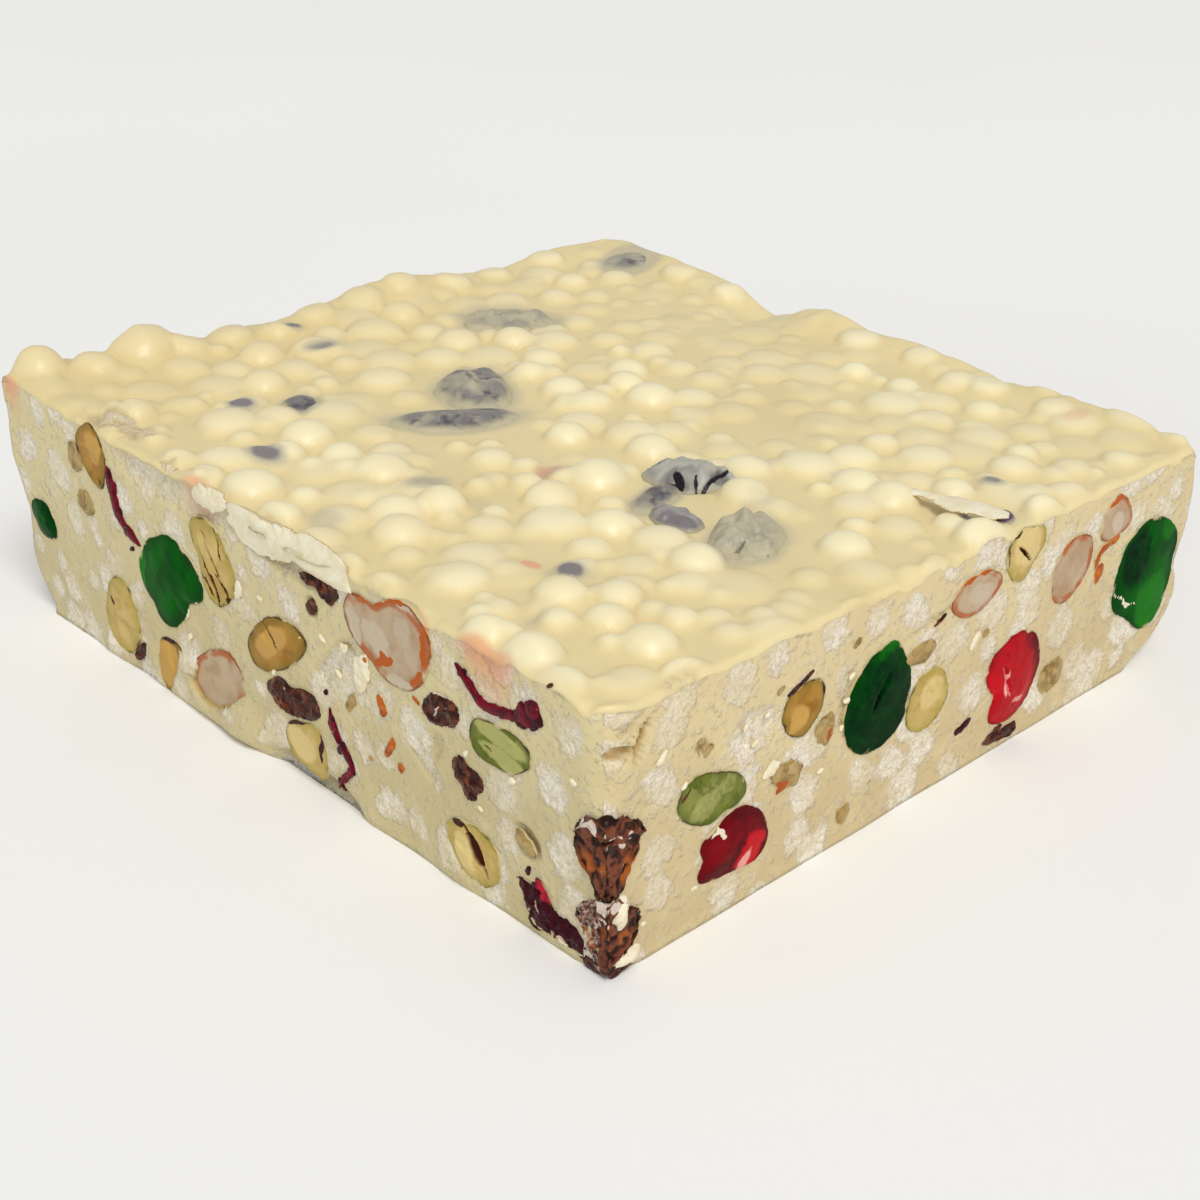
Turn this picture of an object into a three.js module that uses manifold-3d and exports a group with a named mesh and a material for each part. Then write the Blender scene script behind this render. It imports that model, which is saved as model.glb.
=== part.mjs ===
// A slab of white Christmas: white chocolate set round coated rice puffs, glace cherries, pistachios,
// peanuts, cranberries and raisins, knife-cut so that the fruit and nuts show flush on its sides.
// Millimetres, +Z up. Inside the slab's group the front corner's foot is the origin, the right-hand
// cut runs along +X and the left-hand cut along +Y. The group itself is centred over its foot.
import * as THREE from 'three';
import { mergeVertices } from 'three/addons/utils/BufferGeometryUtils.js';
import Module from 'manifold-3d';

const wasm = await Module();
wasm.setup();

// ---- Driving dimensions -------------------------------------------------------------------------

// The slab's four corners in plan, with the height of the chocolate there.
const CORNERS = {
  front: { x: 0, y: 0, height: 34.5 },
  right: { x: 116, y: 2.4, height: 31 },
  left: { x: -0.5, y: 129.5, height: 37 },
  back: { x: 117, y: 128, height: 34 },
};
const OFFCUT = 4; // How far the set slab reached past both knife cuts.
// The set slab's corners before it was cut, with the rounding that the tray gave each.
const SET_CORNERS = {
  front: { x: CORNERS.front.x - OFFCUT, y: CORNERS.front.y - OFFCUT, round: 1 },
  right: { x: CORNERS.right.x + 1, y: CORNERS.right.y - OFFCUT, round: 8 },
  left: { x: CORNERS.left.x - OFFCUT, y: CORNERS.left.y, round: 1 },
  back: { x: CORNERS.back.x, y: CORNERS.back.y, round: 7 },
};

const GAP = 0.3; // Clearance between a piece and the chocolate it sits in.
const COLLAR = 1; // How far a piece reaches out past its face before it is cut flush.
const LEVEL_SHARE = 0.35; // How far up its bend a bent piece's place is measured.
const COLUMNS = 27; // Cells of the top along X.
const ROWS = 33; // Cells of the top along Y.
const WALL_LEVELS = [0, 3, 8, 14, 25]; // Heights of the wall's rings above the foot.

const PUFF_SPREAD = 1.5; // How far a rice puff strays from its even place.
const PUFF_RADIUS = { least: 2.5, most: 3.7 };
const PUFF_HEIGHT = { least: 1, most: 2.7 };
const POOL_SIZE = 21; // Wavelength of the flooded pools between crowds of puffs.
const BARE_SHARE = 0.14; // Share of the places where no puff reaches the top.
const RAISIN_SINK = 0.9; // How far below the top's level the middle of a top raisin lies.

// The right corner's wall, which the tray rounded: how far round the corner that reaches, the set-in of
// its round foot and the foot's height, and the depth, height and reach of its waist.
const RIGHT_CORNER = { full: 7, gone: 26, foot: 11, footTop: 7.5, waist: 1.6, waistAt: 14, waistReach: 3.2 };
// The left corner's wall, which bulges: the places it spans, its tucked foot, then its bulges from the
// foot up as [how far it stands out, height, reach].
const LEFT_CORNER = { width: 24, from: 110, to: 128, tuck: 3, tuckTop: 5 };
const LEFT_BULGES = [[1.2, 9, 3], [3.6, 25, 6], [3.4, 38, 3.5]];
// The right-hand end of the slab, where the chocolate ran smooth over the puffs.
const SMOOTH_END = { fromX: 62, toX: 112, fromY: 20, toY: 70, share: 0.5 };

// Puffs that stand out: [x, y, radius, height].
const PROUD_PUFFS = [
  [3, 15.5, 3.7, 2.7],
  [5.5, 127.5, 4.8, 4.4],
  [20.5, 127.5, 4.8, 4.2],
  [11.5, 50.5, 3.8, 2.5],
  [21, 54.5, 3.4, 2.6],
  [33, 46.5, 3.6, 2.7],
  [33.5, 35.5, 3.3, 2.3],
  [34.5, 21, 3.5, 2.4],
  [5.5, 75, 4, 2.3],
  [52, 12, 3.4, 2.2],
];

// Slow rises and dips of the chocolate's level: [x, y, reach along X, reach along Y, rise].
const SWELLS = [
  [10, 131, 17, 12, 1.6],
  [67, 131, 9, 8, 2.2],
  [90, 129, 6, 6, -0.8],
  [114, 112, 16, 18, 1],
  [118, 84, 10, 4.5, -3.6],
  [118, 72, 8, 5, 1.2],
  [72, 8, 7, 3, -0.8],
];

// ---- Shared sums --------------------------------------------------------------------------------

/** A repeatable number from 0 to 1 for the whole numbers a, b and c. */
function chance(a, b, c) {
  const wave = Math.sin(a * 12.9898 + b * 78.233 + c * 37.719) * 43758.5453;
  return wave - Math.floor(wave);
}

/** The number a share of the way from the least to the most of a range. */
function within(range, share) {
  return range.least + (range.most - range.least) * share;
}

/** 0 below low, 1 above high, and an even ease between them. */
function ease(low, high, value) {
  const share = Math.min(1, Math.max(0, (value - low) / (high - low)));
  return share * share * (3 - 2 * share);
}

/** A smooth hump: 1 at the middle, falling to nearly nothing past its reach. */
function hump(value, middle, reach) {
  return Math.exp(-(((value - middle) / reach) ** 2));
}

/** Blends a value of four corners by the shares s along X and t along Y. */
function blendCorners(corners, key, s, t) {
  const near = corners.front[key] * (1 - s) + corners.right[key] * s;
  const far = corners.left[key] * (1 - s) + corners.back[key] * s;
  return near * (1 - t) + far * t;
}

/** Carries a square corner onto a quarter disc, where the place lies within its radius. */
function roundCorner(runX, runY, radius) {
  if (runX >= radius || runY >= radius) {
    return [runX, runY];
  }
  const p = 1 - runX / radius;
  const q = 1 - runY / radius;
  return [radius * (1 - p * Math.sqrt(1 - q * q / 2)), radius * (1 - q * Math.sqrt(1 - p * p / 2))];
}

/** The place in plan of the shares s and t of the set slab, with its corners rounded. */
function planPoint(s, t) {
  const { front, right, left, back } = SET_CORNERS;
  const lengthX = right.x - front.x;
  const lengthY = left.y - front.y;
  const fromLeft = s < 0.5;
  const fromFront = t < 0.5;
  const nearCorner = fromLeft ? front : right;
  const farCorner = fromLeft ? left : back;
  const corner = fromFront ? nearCorner : farCorner;
  const runX = (fromLeft ? s : 1 - s) * lengthX;
  const runY = (fromFront ? t : 1 - t) * lengthY;
  const [roundX, roundY] = roundCorner(runX, runY, corner.round);
  const shareX = fromLeft ? roundX / lengthX : 1 - roundX / lengthX;
  const shareY = fromFront ? roundY / lengthY : 1 - roundY / lengthY;
  const place = (key) => blendCorners(SET_CORNERS, key, shareX, shareY);
  return [place('x'), place('y')];
}

// ---- The bumpy top ------------------------------------------------------------------------------

/** The share along X of column i in row j: neighbouring rows are staggered by half a cell. */
function columnShare(i, j) {
  const atEdge = i === 0 || i === COLUMNS;
  const stagger = atEdge ? 0 : j % 2 === 0 ? -0.25 : 0.25;
  return (i + stagger) / COLUMNS;
}

/** True at one grid place in three, so that every puff has a ring of six lower places. */
function holdsPuff(i, j) {
  const diagonal = i - (j - (j % 2)) / 2;
  return (((diagonal - j) % 3) + 3) % 3 === 0;
}

/** How crowded with puffs a place is, from 0 in a smooth pool to 1. */
function crowding(x, y) {
  const pools = Math.sin((2.1 * x) / POOL_SIZE + 0.8) * Math.cos((1.7 * y) / POOL_SIZE - 0.6);
  const atEnd = ease(SMOOTH_END.fromX, SMOOTH_END.toX, x) * ease(SMOOTH_END.fromY, SMOOTH_END.toY, y);
  return Math.min(1, Math.max(0.25, 0.85 + 0.3 * pools - SMOOTH_END.share * atEnd));
}

/** Every puff under the top's skin, as { x, y, radius, height }. */
function scatterPuffs(raisins) {
  const puffs = PROUD_PUFFS.map(([x, y, radius, height]) => ({ x, y, radius, height }));
  const crowded = (x, y) => puffs.slice(0, PROUD_PUFFS.length).some(
    (puff) => Math.hypot(puff.x - x, puff.y - y) < puff.radius + 1.6);
  const overRaisin = (x, y) => raisins.some(
    (raisin) => Math.hypot(raisin.along - x, raisin.up - y) < raisin.length / 2 + 0.8);
  for (let j = 0; j <= ROWS; j += 1) {
    for (let i = 0; i <= COLUMNS; i += 1) {
      if (!holdsPuff(i, j) || chance(i, j, 1) < BARE_SHARE) {
        continue;
      }
      const [evenX, evenY] = planPoint(columnShare(i, j), j / ROWS);
      const x = evenX + (chance(i, j, 2) - 0.5) * 2 * PUFF_SPREAD;
      const y = evenY + (chance(i, j, 3) - 0.5) * 2 * PUFF_SPREAD;
      if (crowded(x, y) || overRaisin(x, y)) {
        continue;
      }
      const height = within(PUFF_HEIGHT, chance(i, j, 4)) * crowding(x, y);
      puffs.push({ x, y, radius: within(PUFF_RADIUS, chance(i, j, 5)), height });
    }
  }
  return puffs;
}

/** The chocolate's own level at a place, without its puffs. */
function level(x, y) {
  const s = Math.min(1, Math.max(0, x / CORNERS.right.x));
  const t = Math.min(1, Math.max(0, y / CORNERS.left.y));
  let height = blendCorners(CORNERS, 'height', s, t);
  for (const [swellX, swellY, reachX, reachY, rise] of SWELLS) {
    height += rise * hump(x, swellX, reachX) * hump(y, swellY, reachY);
  }
  return height;
}

/** The height of the top at a place: the level, and the highest dome of the puffs round it. */
function topHeight(x, y, puffs) {
  let rise = 0;
  for (const puff of puffs) {
    const share = ((x - puff.x) ** 2 + (y - puff.y) ** 2) / puff.radius ** 2;
    if (share < 1) {
      rise = Math.max(rise, puff.height * Math.sqrt(1 - share));
    }
  }
  return level(x, y) + rise;
}

// ---- The sides ----------------------------------------------------------------------------------

/** How far the tray's wall stands out in X and Y at a height z, by the place [x, y] of its top edge. */
function wallShift(x, y, z) {
  const fromRight = Math.hypot(x - CORNERS.right.x, y - CORNERS.right.y);
  const { full, gone, foot, footTop, waist, waistAt, waistReach } = RIGHT_CORNER;
  const setIn = foot * (1 - Math.min(1, z / footTop)) ** 1.5 + waist * hump(z, waistAt, waistReach);
  const rightPull = (1 - ease(full, gone, fromRight)) * setIn * Math.SQRT1_2;

  const { width, from, to, tuck, tuckTop } = LEFT_CORNER;
  let leftPush = -tuck * (1 - ease(0, tuckTop, z));
  for (const [out, height, reach] of LEFT_BULGES) {
    leftPush += out * hump(z, height, reach);
  }
  leftPush *= (1 - ease(0, width, x)) * ease(from, to, y);
  return [-rightPull, rightPull + leftPush];
}

/** The set slab before it is cut: its top, its walls down to the foot, and its flat underside. */
function setSlabGeometry(puffs) {
  const places = [];
  const faces = [];
  const topIndex = (i, j) => j * (COLUMNS + 1) + i;
  for (let j = 0; j <= ROWS; j += 1) {
    for (let i = 0; i <= COLUMNS; i += 1) {
      const [x, y] = planPoint(columnShare(i, j), j / ROWS);
      places.push([x, y, topHeight(x, y, puffs)]);
    }
  }
  for (let j = 0; j < ROWS; j += 1) {
    for (let i = 0; i < COLUMNS; i += 1) {
      const [a, b, c, d] = [topIndex(i, j), topIndex(i + 1, j), topIndex(i, j + 1), topIndex(i + 1, j + 1)];
      faces.push(...(j % 2 === 0 ? [[a, b, c], [b, d, c]] : [[a, b, d], [a, d, c]]));
    }
  }

  const rim = [];
  for (let i = 0; i < COLUMNS; i += 1) {
    rim.push(topIndex(i, 0));
  }
  for (let j = 0; j < ROWS; j += 1) {
    rim.push(topIndex(COLUMNS, j));
  }
  for (let i = COLUMNS; i > 0; i -= 1) {
    rim.push(topIndex(i, ROWS));
  }
  for (let j = ROWS; j > 0; j -= 1) {
    rim.push(topIndex(0, j));
  }

  let upper = rim;
  for (const z of [...WALL_LEVELS].reverse()) {
    const lower = rim.map((index) => {
      const [x, y] = places[index];
      const [shiftX, shiftY] = wallShift(x, y, z);
      places.push([x + shiftX, y + shiftY, z]);
      return places.length - 1;
    });
    rim.forEach((_, k) => {
      const next = (k + 1) % rim.length;
      faces.push([upper[k], lower[k], lower[next]], [upper[k], lower[next], upper[next]]);
    });
    upper = lower;
  }
  places.push([CORNERS.back.x / 2, CORNERS.back.y / 2, 0]); // The underside fans out from its middle.
  const middle = places.length - 1;
  upper.forEach((index, k) => faces.push([index, middle, upper[(k + 1) % upper.length]]));

  const geometry = new THREE.BufferGeometry();
  geometry.setAttribute('position', new THREE.Float32BufferAttribute(places.flat(), 3));
  geometry.setIndex(faces.flat());
  return geometry;
}

// ---- The kinds of fruit and nuts ----------------------------------------------------------------

// lumps: how uneven the outline is; deep: how far a piece reaches in, as a share of its width;
// sides and rings: the facets round it and from its widest section to its pole.
const KINDS = {
  greenCherry: { colour: 0x0a5216, roughness: 0.25, lumps: 0.06, deep: 0.42, sides: 11, rings: 2 },
  redCherry: { colour: 0x8a1b25, roughness: 0.25, lumps: 0.07, deep: 0.42, sides: 11, rings: 2 },
  greenPistachio: { colour: 0x868234, roughness: 0.5, lumps: 0.05, deep: 0.45, sides: 10, rings: 2 },
  amberPistachio: { colour: 0xa87c2a, roughness: 0.5, lumps: 0.05, deep: 0.45, sides: 10, rings: 2 },
  paleNut: { colour: 0xc4ac70, roughness: 0.5, lumps: 0.04, deep: 0.45, sides: 10, rings: 2 },
  peanut: { colour: 0xb3977a, roughness: 0.5, lumps: 0.03, deep: 0.45, sides: 10, rings: 2 },
  chip: { colour: 0x8f7a3a, roughness: 0.55, lumps: 0.08, deep: 0.5, sides: 8, rings: 1 },
  raisin: { colour: 0x3a211c, roughness: 0.5, lumps: 0.14, deep: 0.6, sides: 9, rings: 2 },
  veiledRaisin: { colour: 0xa8a293, roughness: 0.4, lumps: 0.12, deep: 0.42, sides: 9, rings: 2 },
  cranberry: { colour: 0x5c1420, roughness: 0.35, lumps: 0.16, deep: 0.8, sides: 11, rings: 1 },
};

// ---- Where each piece shows ---------------------------------------------------------------------

// Each row: name, kind, distance from the face's starting corner, height up the face, length, width,
// tilt in degrees (anticlockwise seen from outside), then the bend of its tips and its taper.
const LEFT_CUT = [
  ['pistachio_corner_amber', 'amberPistachio', 107.8, 32.4, 11.8, 9.2, 98],
  ['pistachio_corner_olive', 'chip', 114, 30, 5, 4.4, 0],
  ['pistachio_bit_olive', 'chip', 111, 24.2, 5, 4, 0],
  ['cranberry_shred_upper', 'cranberry', 103.2, 27, 12.4, 2.8, -61, 2.6],
  ['cherry_green_end', 'greenCherry', 125.8, 17, 8.4, 6.2, 10],
  ['cherry_green_bright', 'greenCherry', 89.6, 18.9, 17, 15, 72, 0, 0.22],
  ['pistachio_cracked', 'paleNut', 77.3, 26, 12.8, 10.2, -70],
  ['pistachio_pale', 'paleNut', 104.6, 8.2, 11.6, 8.8, 85],
  ['pistachio_low_amber', 'amberPistachio', 91.9, 4.8, 9.4, 6.8, 60],
  ['raisin_shred_low', 'raisin', 100, 4.2, 6.4, 2.2, 30],
  ['peanut_ringed_long', 'peanut', 79, 7.6, 15.4, 9.2, 33],
  ['pistachio_long_amber', 'amberPistachio', 63.5, 18.8, 16.4, 7.4, 33],
  ['raisin_under_lip', 'raisin', 52.8, 31.6, 9.4, 3, -8],
  ['peanut_large', 'peanut', 38.6, 29.4, 16.6, 11.6, 0],
  ['raisin_wide', 'raisin', 60.5, 12, 12.2, 4.6, 5],
  ['peanut_broken_foot', 'paleNut', 59.4, 6.4, 11, 6, 10],
  ['cranberry_shred_low', 'cranberry', 48.6, 7.6, 12, 2.6, 90, 2.6],
  ['raisin_middle', 'raisin', 29, 23.8, 8.2, 4.6, 15],
  ['cranberry_curl', 'cranberry', 18, 28.2, 15, 2.6, 8, 2.2, 0.3],
  ['pistachio_green_wedge', 'greenPistachio', 18, 23, 11.6, 5.6, 0],
  ['raisin_torn', 'raisin', 24.5, 16.2, 6.4, 5, -30],
  ['pistachio_split', 'paleNut', 23.8, 5.6, 10.2, 8, -25],
  ['cranberry_front', 'cranberry', 8.8, 4.3, 11.4, 5.4, -8],
];
const RIGHT_CUT = [
  ['pistachio_green_front', 'greenPistachio', 16.8, 18.1, 12.8, 6.8, -20],
  ['cherry_red_front', 'redCherry', 20.6, 9.5, 12.2, 8.6, 0],
  ['pistachio_amber_right', 'amberPistachio', 32.3, 22.6, 8.2, 6.4, 0],
  ['peanut_chip_upper', 'chip', 36.4, 18, 4.6, 3.4, 70],
  ['peanut_chip_lower', 'chip', 30.6, 15.2, 6.8, 3.4, -10],
  ['cherry_green_dark', 'greenCherry', 46.8, 18.7, 15, 13, 80],
  ['pistachio_sliver', 'chip', 55.5, 21.9, 5.4, 3, -5],
  ['pistachio_tan', 'paleNut', 57, 14.1, 9.4, 7.8, 40],
  ['peanut_half', 'peanut', 66, 25.3, 10.4, 6.4, -8],
  ['pistachio_notched', 'paleNut', 75.6, 28, 9.4, 7.8, 10],
  ['cherry_red_middle', 'redCherry', 75.3, 10.1, 13.8, 12.8, -60],
  ['raisin_shred_foot', 'raisin', 73.8, 1.9, 9, 1.8, -3],
  ['peanut_ringed_round', 'peanut', 87.2, 22.4, 9.2, 8.6, 60],
  ['peanut_chip_tan', 'chip', 85.2, 6.6, 5.6, 4.2, 45],
  ['peanut_end', 'peanut', 97.2, 26.8, 8, 6.6, 0],
  ['cherry_green_corner', 'greenCherry', 105.8, 15, 17.6, 15.4, -62],
];
const FAR_SIDE = [
  ['cherry_red_far', 'redCherry', 44, 17, 14.5, 12.5, 30],
  ['pistachio_far', 'greenPistachio', 66, 11, 13, 7, -25],
  ['cherry_green_far', 'greenCherry', 96, 18, 15, 13.5, 65],
];
const BACK_SIDE = [
  ['cherry_green_back', 'greenCherry', 34, 18, 15.5, 13, 40],
  ['peanut_back', 'peanut', 58, 20, 14, 9, -20],
  ['cherry_red_back', 'redCherry', 82, 13, 14, 12, 15],
  ['pistachio_back', 'amberPistachio', 100, 20, 12, 8, 60],
];
const TOP_RAISINS = [
  ['raisin_top_long', 'veiledRaisin', 43.5, 77.2, 20, 10, -12],
  ['raisin_top_hooked', 'veiledRaisin', 53, 86.5, 11, 7, 65],
  ['raisin_top_bare', 'raisin', 55.5, 43.7, 14.6, 9.4, 12],
  ['raisin_top_purple', 'raisin', 41.6, 31.8, 7.8, 6, 70],
  ['raisin_top_grey', 'veiledRaisin', 44.6, 38.6, 11.4, 5, 20],
  ['raisin_top_brown', 'veiledRaisin', 44, 21.5, 13.4, 8.4, 25],
  ['raisin_in_flake', 'raisin', 75.8, 5.6, 5, 3.4, 45],
  ['raisin_top_dark', 'veiledRaisin', 27.4, 95.4, 7.4, 5.6, 60],
  ['raisin_top_back', 'veiledRaisin', 75.5, 105.5, 15, 11, -45],
  ['raisin_top_far', 'veiledRaisin', 111, 114.5, 12.5, 9, 20],
];
// Raisins that the front corner's two cuts both go through: name, height, reach, tallness.
const CORNER_DEPTH = 0.9; // How far their middles lie behind each cut.
const CORNER_RAISINS = [
  ['raisin_corner_upper', 15.8, 5.2, 4.8],
  ['raisin_corner_lower', 6.4, 5, 3.8],
];

// Bites out of the cut edges, where chocolate broke away: [x, y, z, reach along X, Y and Z].
const BROKEN_BITS = [
  [-0.4, 56.5, -0.4, 3.4, 11, 2.8],
  [-0.6, 61, 33.2, 1.5, 11, 2.4],
  [0.5, 0.5, -0.6, 5, 5, 2],
];

/** A row of a table as named values. */
function readRow([name, kind, along, up, length, width, tilt, bend = 0, taper = 0]) {
  return { name, kind, along, up, length, width, tilt, bend, taper };
}

/** Half the outline of a body of radius 1: from its outer end round its widest to its inner pole. */
function profileOf(kind, whole) {
  const points = whole ? [] : [new THREE.Vector2(0, -1), new THREE.Vector2(1, -1)];
  for (let k = whole ? -kind.rings : 0; k <= kind.rings; k += 1) {
    const turn = (Math.PI / 2) * (k / kind.rings);
    points.push(new THREE.Vector2(Math.max(0, Math.cos(turn)), Math.sin(turn)));
  }
  return points;
}

/**
 * A fruit or nut, larger all round by the grown amount. It lies along X, with its poles on Y, and y = 0
 * is its widest section. Waves round it make its outline uneven. Past y = 0 a whole one rounds off
 * again, and any other one goes straight on as a collar, to be cut flush with its face.
 */
function morselGeometry(item, grown, whole) {
  const kind = KINDS[item.kind];
  const seed = item.along * 0.7 + item.up * 1.3;
  const depth = item.width * kind.deep + grown;
  const geometry = new THREE.LatheGeometry(profileOf(kind, whole), kind.sides);
  const position = geometry.getAttribute('position');
  for (let k = 0; k < position.count; k += 1) {
    const around = Math.atan2(position.getZ(k), position.getX(k));
    const flat = Math.hypot(position.getX(k), position.getZ(k));
    const twoLobes = Math.sin(2 * around + seed);
    const threeLobes = Math.sin(3 * around + 2 * seed);
    const fiveLobes = Math.sin(5 * around + 3 * seed);
    const reach = flat * (1 + kind.lumps * (0.6 * twoLobes + 0.4 * threeLobes + 0.3 * fiveLobes));
    const x = reach * Math.cos(around);
    const z = reach * Math.sin(around) * (1 + item.taper * x);
    const y = position.getY(k);
    const along = x * (item.length / 2 + grown);
    const lift = item.bend * ((along / (item.length / 2)) ** 2 - LEVEL_SHARE);
    position.setXYZ(k, along, y * (whole || y > 0 ? depth : COLLAR), z * (item.width / 2 + grown) + lift);
  }
  return geometry;
}

// ---- Cutting in place ---------------------------------------------------------------------------

/** A closed geometry as a solid that can be cut. */
function toSolid(geometry) {
  const bare = geometry.clone();
  bare.deleteAttribute('normal');
  bare.deleteAttribute('uv');
  const merged = mergeVertices(bare, 1e-4);
  return new wasm.Manifold(new wasm.Mesh({
    numProp: 3,
    vertProperties: new Float32Array(merged.getAttribute('position').array),
    triVerts: new Uint32Array(merged.index.array),
  }));
}

/** A solid as a geometry to show. */
function toGeometry(solid) {
  const mesh = solid.getMesh();
  const geometry = new THREE.BufferGeometry();
  geometry.setAttribute('position', new THREE.BufferAttribute(new Float32Array(mesh.vertProperties), 3));
  geometry.setIndex(new THREE.BufferAttribute(new Uint32Array(mesh.triVerts), 1));
  geometry.computeVertexNormals();
  return geometry;
}

/** A material of a colour and roughness. */
function finish(colour, roughness) {
  return new THREE.MeshStandardMaterial({ color: colour, roughness, metalness: 0, flatShading: true });
}

/** A group that stands on a side of the slab: X along it to the right, Y into it, Z up. */
function faceGroup(from, to, turn) {
  const group = new THREE.Group();
  group.position.set(from.x, from.y, 0);
  group.rotation.z = Math.atan2(to.y - from.y, to.x - from.x) + turn;
  group.updateMatrix();
  return group;
}

/** What a knife takes away past the line between two corners. */
function offcut(from, to, turn) {
  const blank = new THREE.BoxGeometry(400, 20, 120).translate(0, -10, 40);
  return toSolid(blank.applyMatrix4(faceGroup(from, to, turn).matrix));
}

/** The slab as it lies: cut along its two shown sides, with its edges broken here and there. */
function cutSlab(puffs) {
  let solid = toSolid(setSlabGeometry(puffs));
  solid = solid.subtract(offcut(CORNERS.front, CORNERS.left, Math.PI));
  solid = solid.subtract(offcut(CORNERS.front, CORNERS.right, 0));
  for (const [x, y, z, reachX, reachY, reachZ] of BROKEN_BITS) {
    const bite = new THREE.SphereGeometry(1, 10, 6).scale(reachX, reachY, reachZ).translate(x, y, z);
    solid = solid.subtract(toSolid(bite));
  }
  return solid;
}

const slab = new THREE.Group();
const topRaisins = TOP_RAISINS.map(readRow);
const puffs = scatterPuffs(topRaisins);
const wholeSlab = cutSlab(puffs);
let chocolate = wholeSlab;
const taken = []; // Grown pieces already placed, which later ones keep clear of.

/** Puts one piece in its place in a group, cut flush with the slab where trimmed is true. */
function setPiece(group, name, kind, place, geometryOf, trimmed) {
  const matrix = group.matrix.clone().multiply(place.matrix);
  const solidOf = (grown) => toSolid(geometryOf(grown).applyMatrix4(matrix));
  let solid = trimmed ? solidOf(0).intersect(wholeSlab) : solidOf(0);
  for (const neighbour of taken) {
    solid = solid.subtract(neighbour);
  }
  const pocket = solidOf(GAP);
  taken.push(pocket);
  chocolate = chocolate.subtract(pocket);
  const geometry = toGeometry(solid).applyMatrix4(matrix.clone().invert());
  const mesh = new THREE.Mesh(geometry, finish(KINDS[kind].colour, KINDS[kind].roughness));
  mesh.name = name;
  mesh.position.copy(place.position);
  mesh.rotation.copy(place.rotation);
  group.add(mesh);
}

/** Sets every row of a table into one side of the slab. */
function setSide(rows, from, to, turn, direction) {
  const group = faceGroup(from, to, turn);
  for (const item of rows.map(readRow)) {
    const place = new THREE.Object3D();
    place.position.set(item.along * direction, 0, item.up);
    place.rotation.y = -THREE.MathUtils.degToRad(item.tilt);
    place.updateMatrix();
    setPiece(group, item.name, item.kind, place, (grown) => morselGeometry(item, grown, false), true);
  }
  slab.add(group);
}

/** A lumpy ball: its reach in plan, its half height and the turn of its lumps. */
function lumpyBall(reach, tall, turn, grown) {
  const geometry = new THREE.SphereGeometry(1, 9, 6);
  const position = geometry.getAttribute('position');
  for (let k = 0; k < position.count; k += 1) {
    const [x, y, z] = [position.getX(k), position.getY(k), position.getZ(k)];
    const folds = 0.09 * Math.sin(4 * x + turn) * Math.cos(5 * z + 1);
    const swell = 1 + folds + 0.06 * Math.sin(6 * y + turn);
    const across = reach * swell + grown;
    position.setXYZ(k, x * across, y * across, z * (tall * swell + grown));
  }
  return geometry;
}

/** Sets the raisins that both cuts of the front corner go through. */
function setCornerRaisins() {
  const group = new THREE.Group();
  for (const [name, height, reach, tall] of CORNER_RAISINS) {
    const place = new THREE.Object3D();
    place.position.set(CORNER_DEPTH, CORNER_DEPTH, height);
    place.updateMatrix();
    setPiece(group, name, 'raisin', place, (grown) => lumpyBall(reach, tall, height, grown), true);
  }
  slab.add(group);
}

/** Sets the raisins that lie in the top, their backs a little proud of the chocolate. */
function setTopRaisins() {
  const group = new THREE.Group();
  for (const item of topRaisins) {
    const place = new THREE.Object3D();
    place.position.set(item.along, item.up, level(item.along, item.up) - RAISIN_SINK);
    place.rotation.set(-Math.PI / 2, -THREE.MathUtils.degToRad(item.tilt), 0, 'XYZ');
    place.updateMatrix();
    setPiece(group, item.name, item.kind, place, (grown) => morselGeometry(item, grown, true), false);
  }
  slab.add(group);
}

setCornerRaisins();
setSide(LEFT_CUT, CORNERS.front, CORNERS.left, Math.PI, -1);
setSide(RIGHT_CUT, CORNERS.front, CORNERS.right, 0, 1);
setSide(FAR_SIDE, CORNERS.right, CORNERS.back, 0, 1);
setSide(BACK_SIDE, CORNERS.left, CORNERS.back, Math.PI, -1);
setTopRaisins();

// Specks left between two pockets fall away.
const [largest] = chocolate.decompose().sort((a, b) => b.volume() - a.volume());
const body = new THREE.Mesh(toGeometry(largest), finish(0xd9c795, 0.45));
body.name = 'chocolate_slab';
slab.add(body);

// The foot's centre becomes the part's origin.
const extent = new THREE.Box3().setFromObject(slab);
slab.position.set(-(extent.min.x + extent.max.x) / 2, -(extent.min.y + extent.max.y) / 2, 0);

export default slab;
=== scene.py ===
"""White Christmas: a slab of white chocolate over rice puffs, with fruit and nuts in it, cut with a knife.

Lengths are millimetres in the slab's own axes until a mesh is made. The front corner's foot is the origin,
the right-hand cut runs along +X, the left-hand cut along +Y and Z is up.
"""

import logging
import math
from dataclasses import dataclass, field
from enum import Enum
from typing import Any, Iterable, Optional, Sequence, Union

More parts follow.
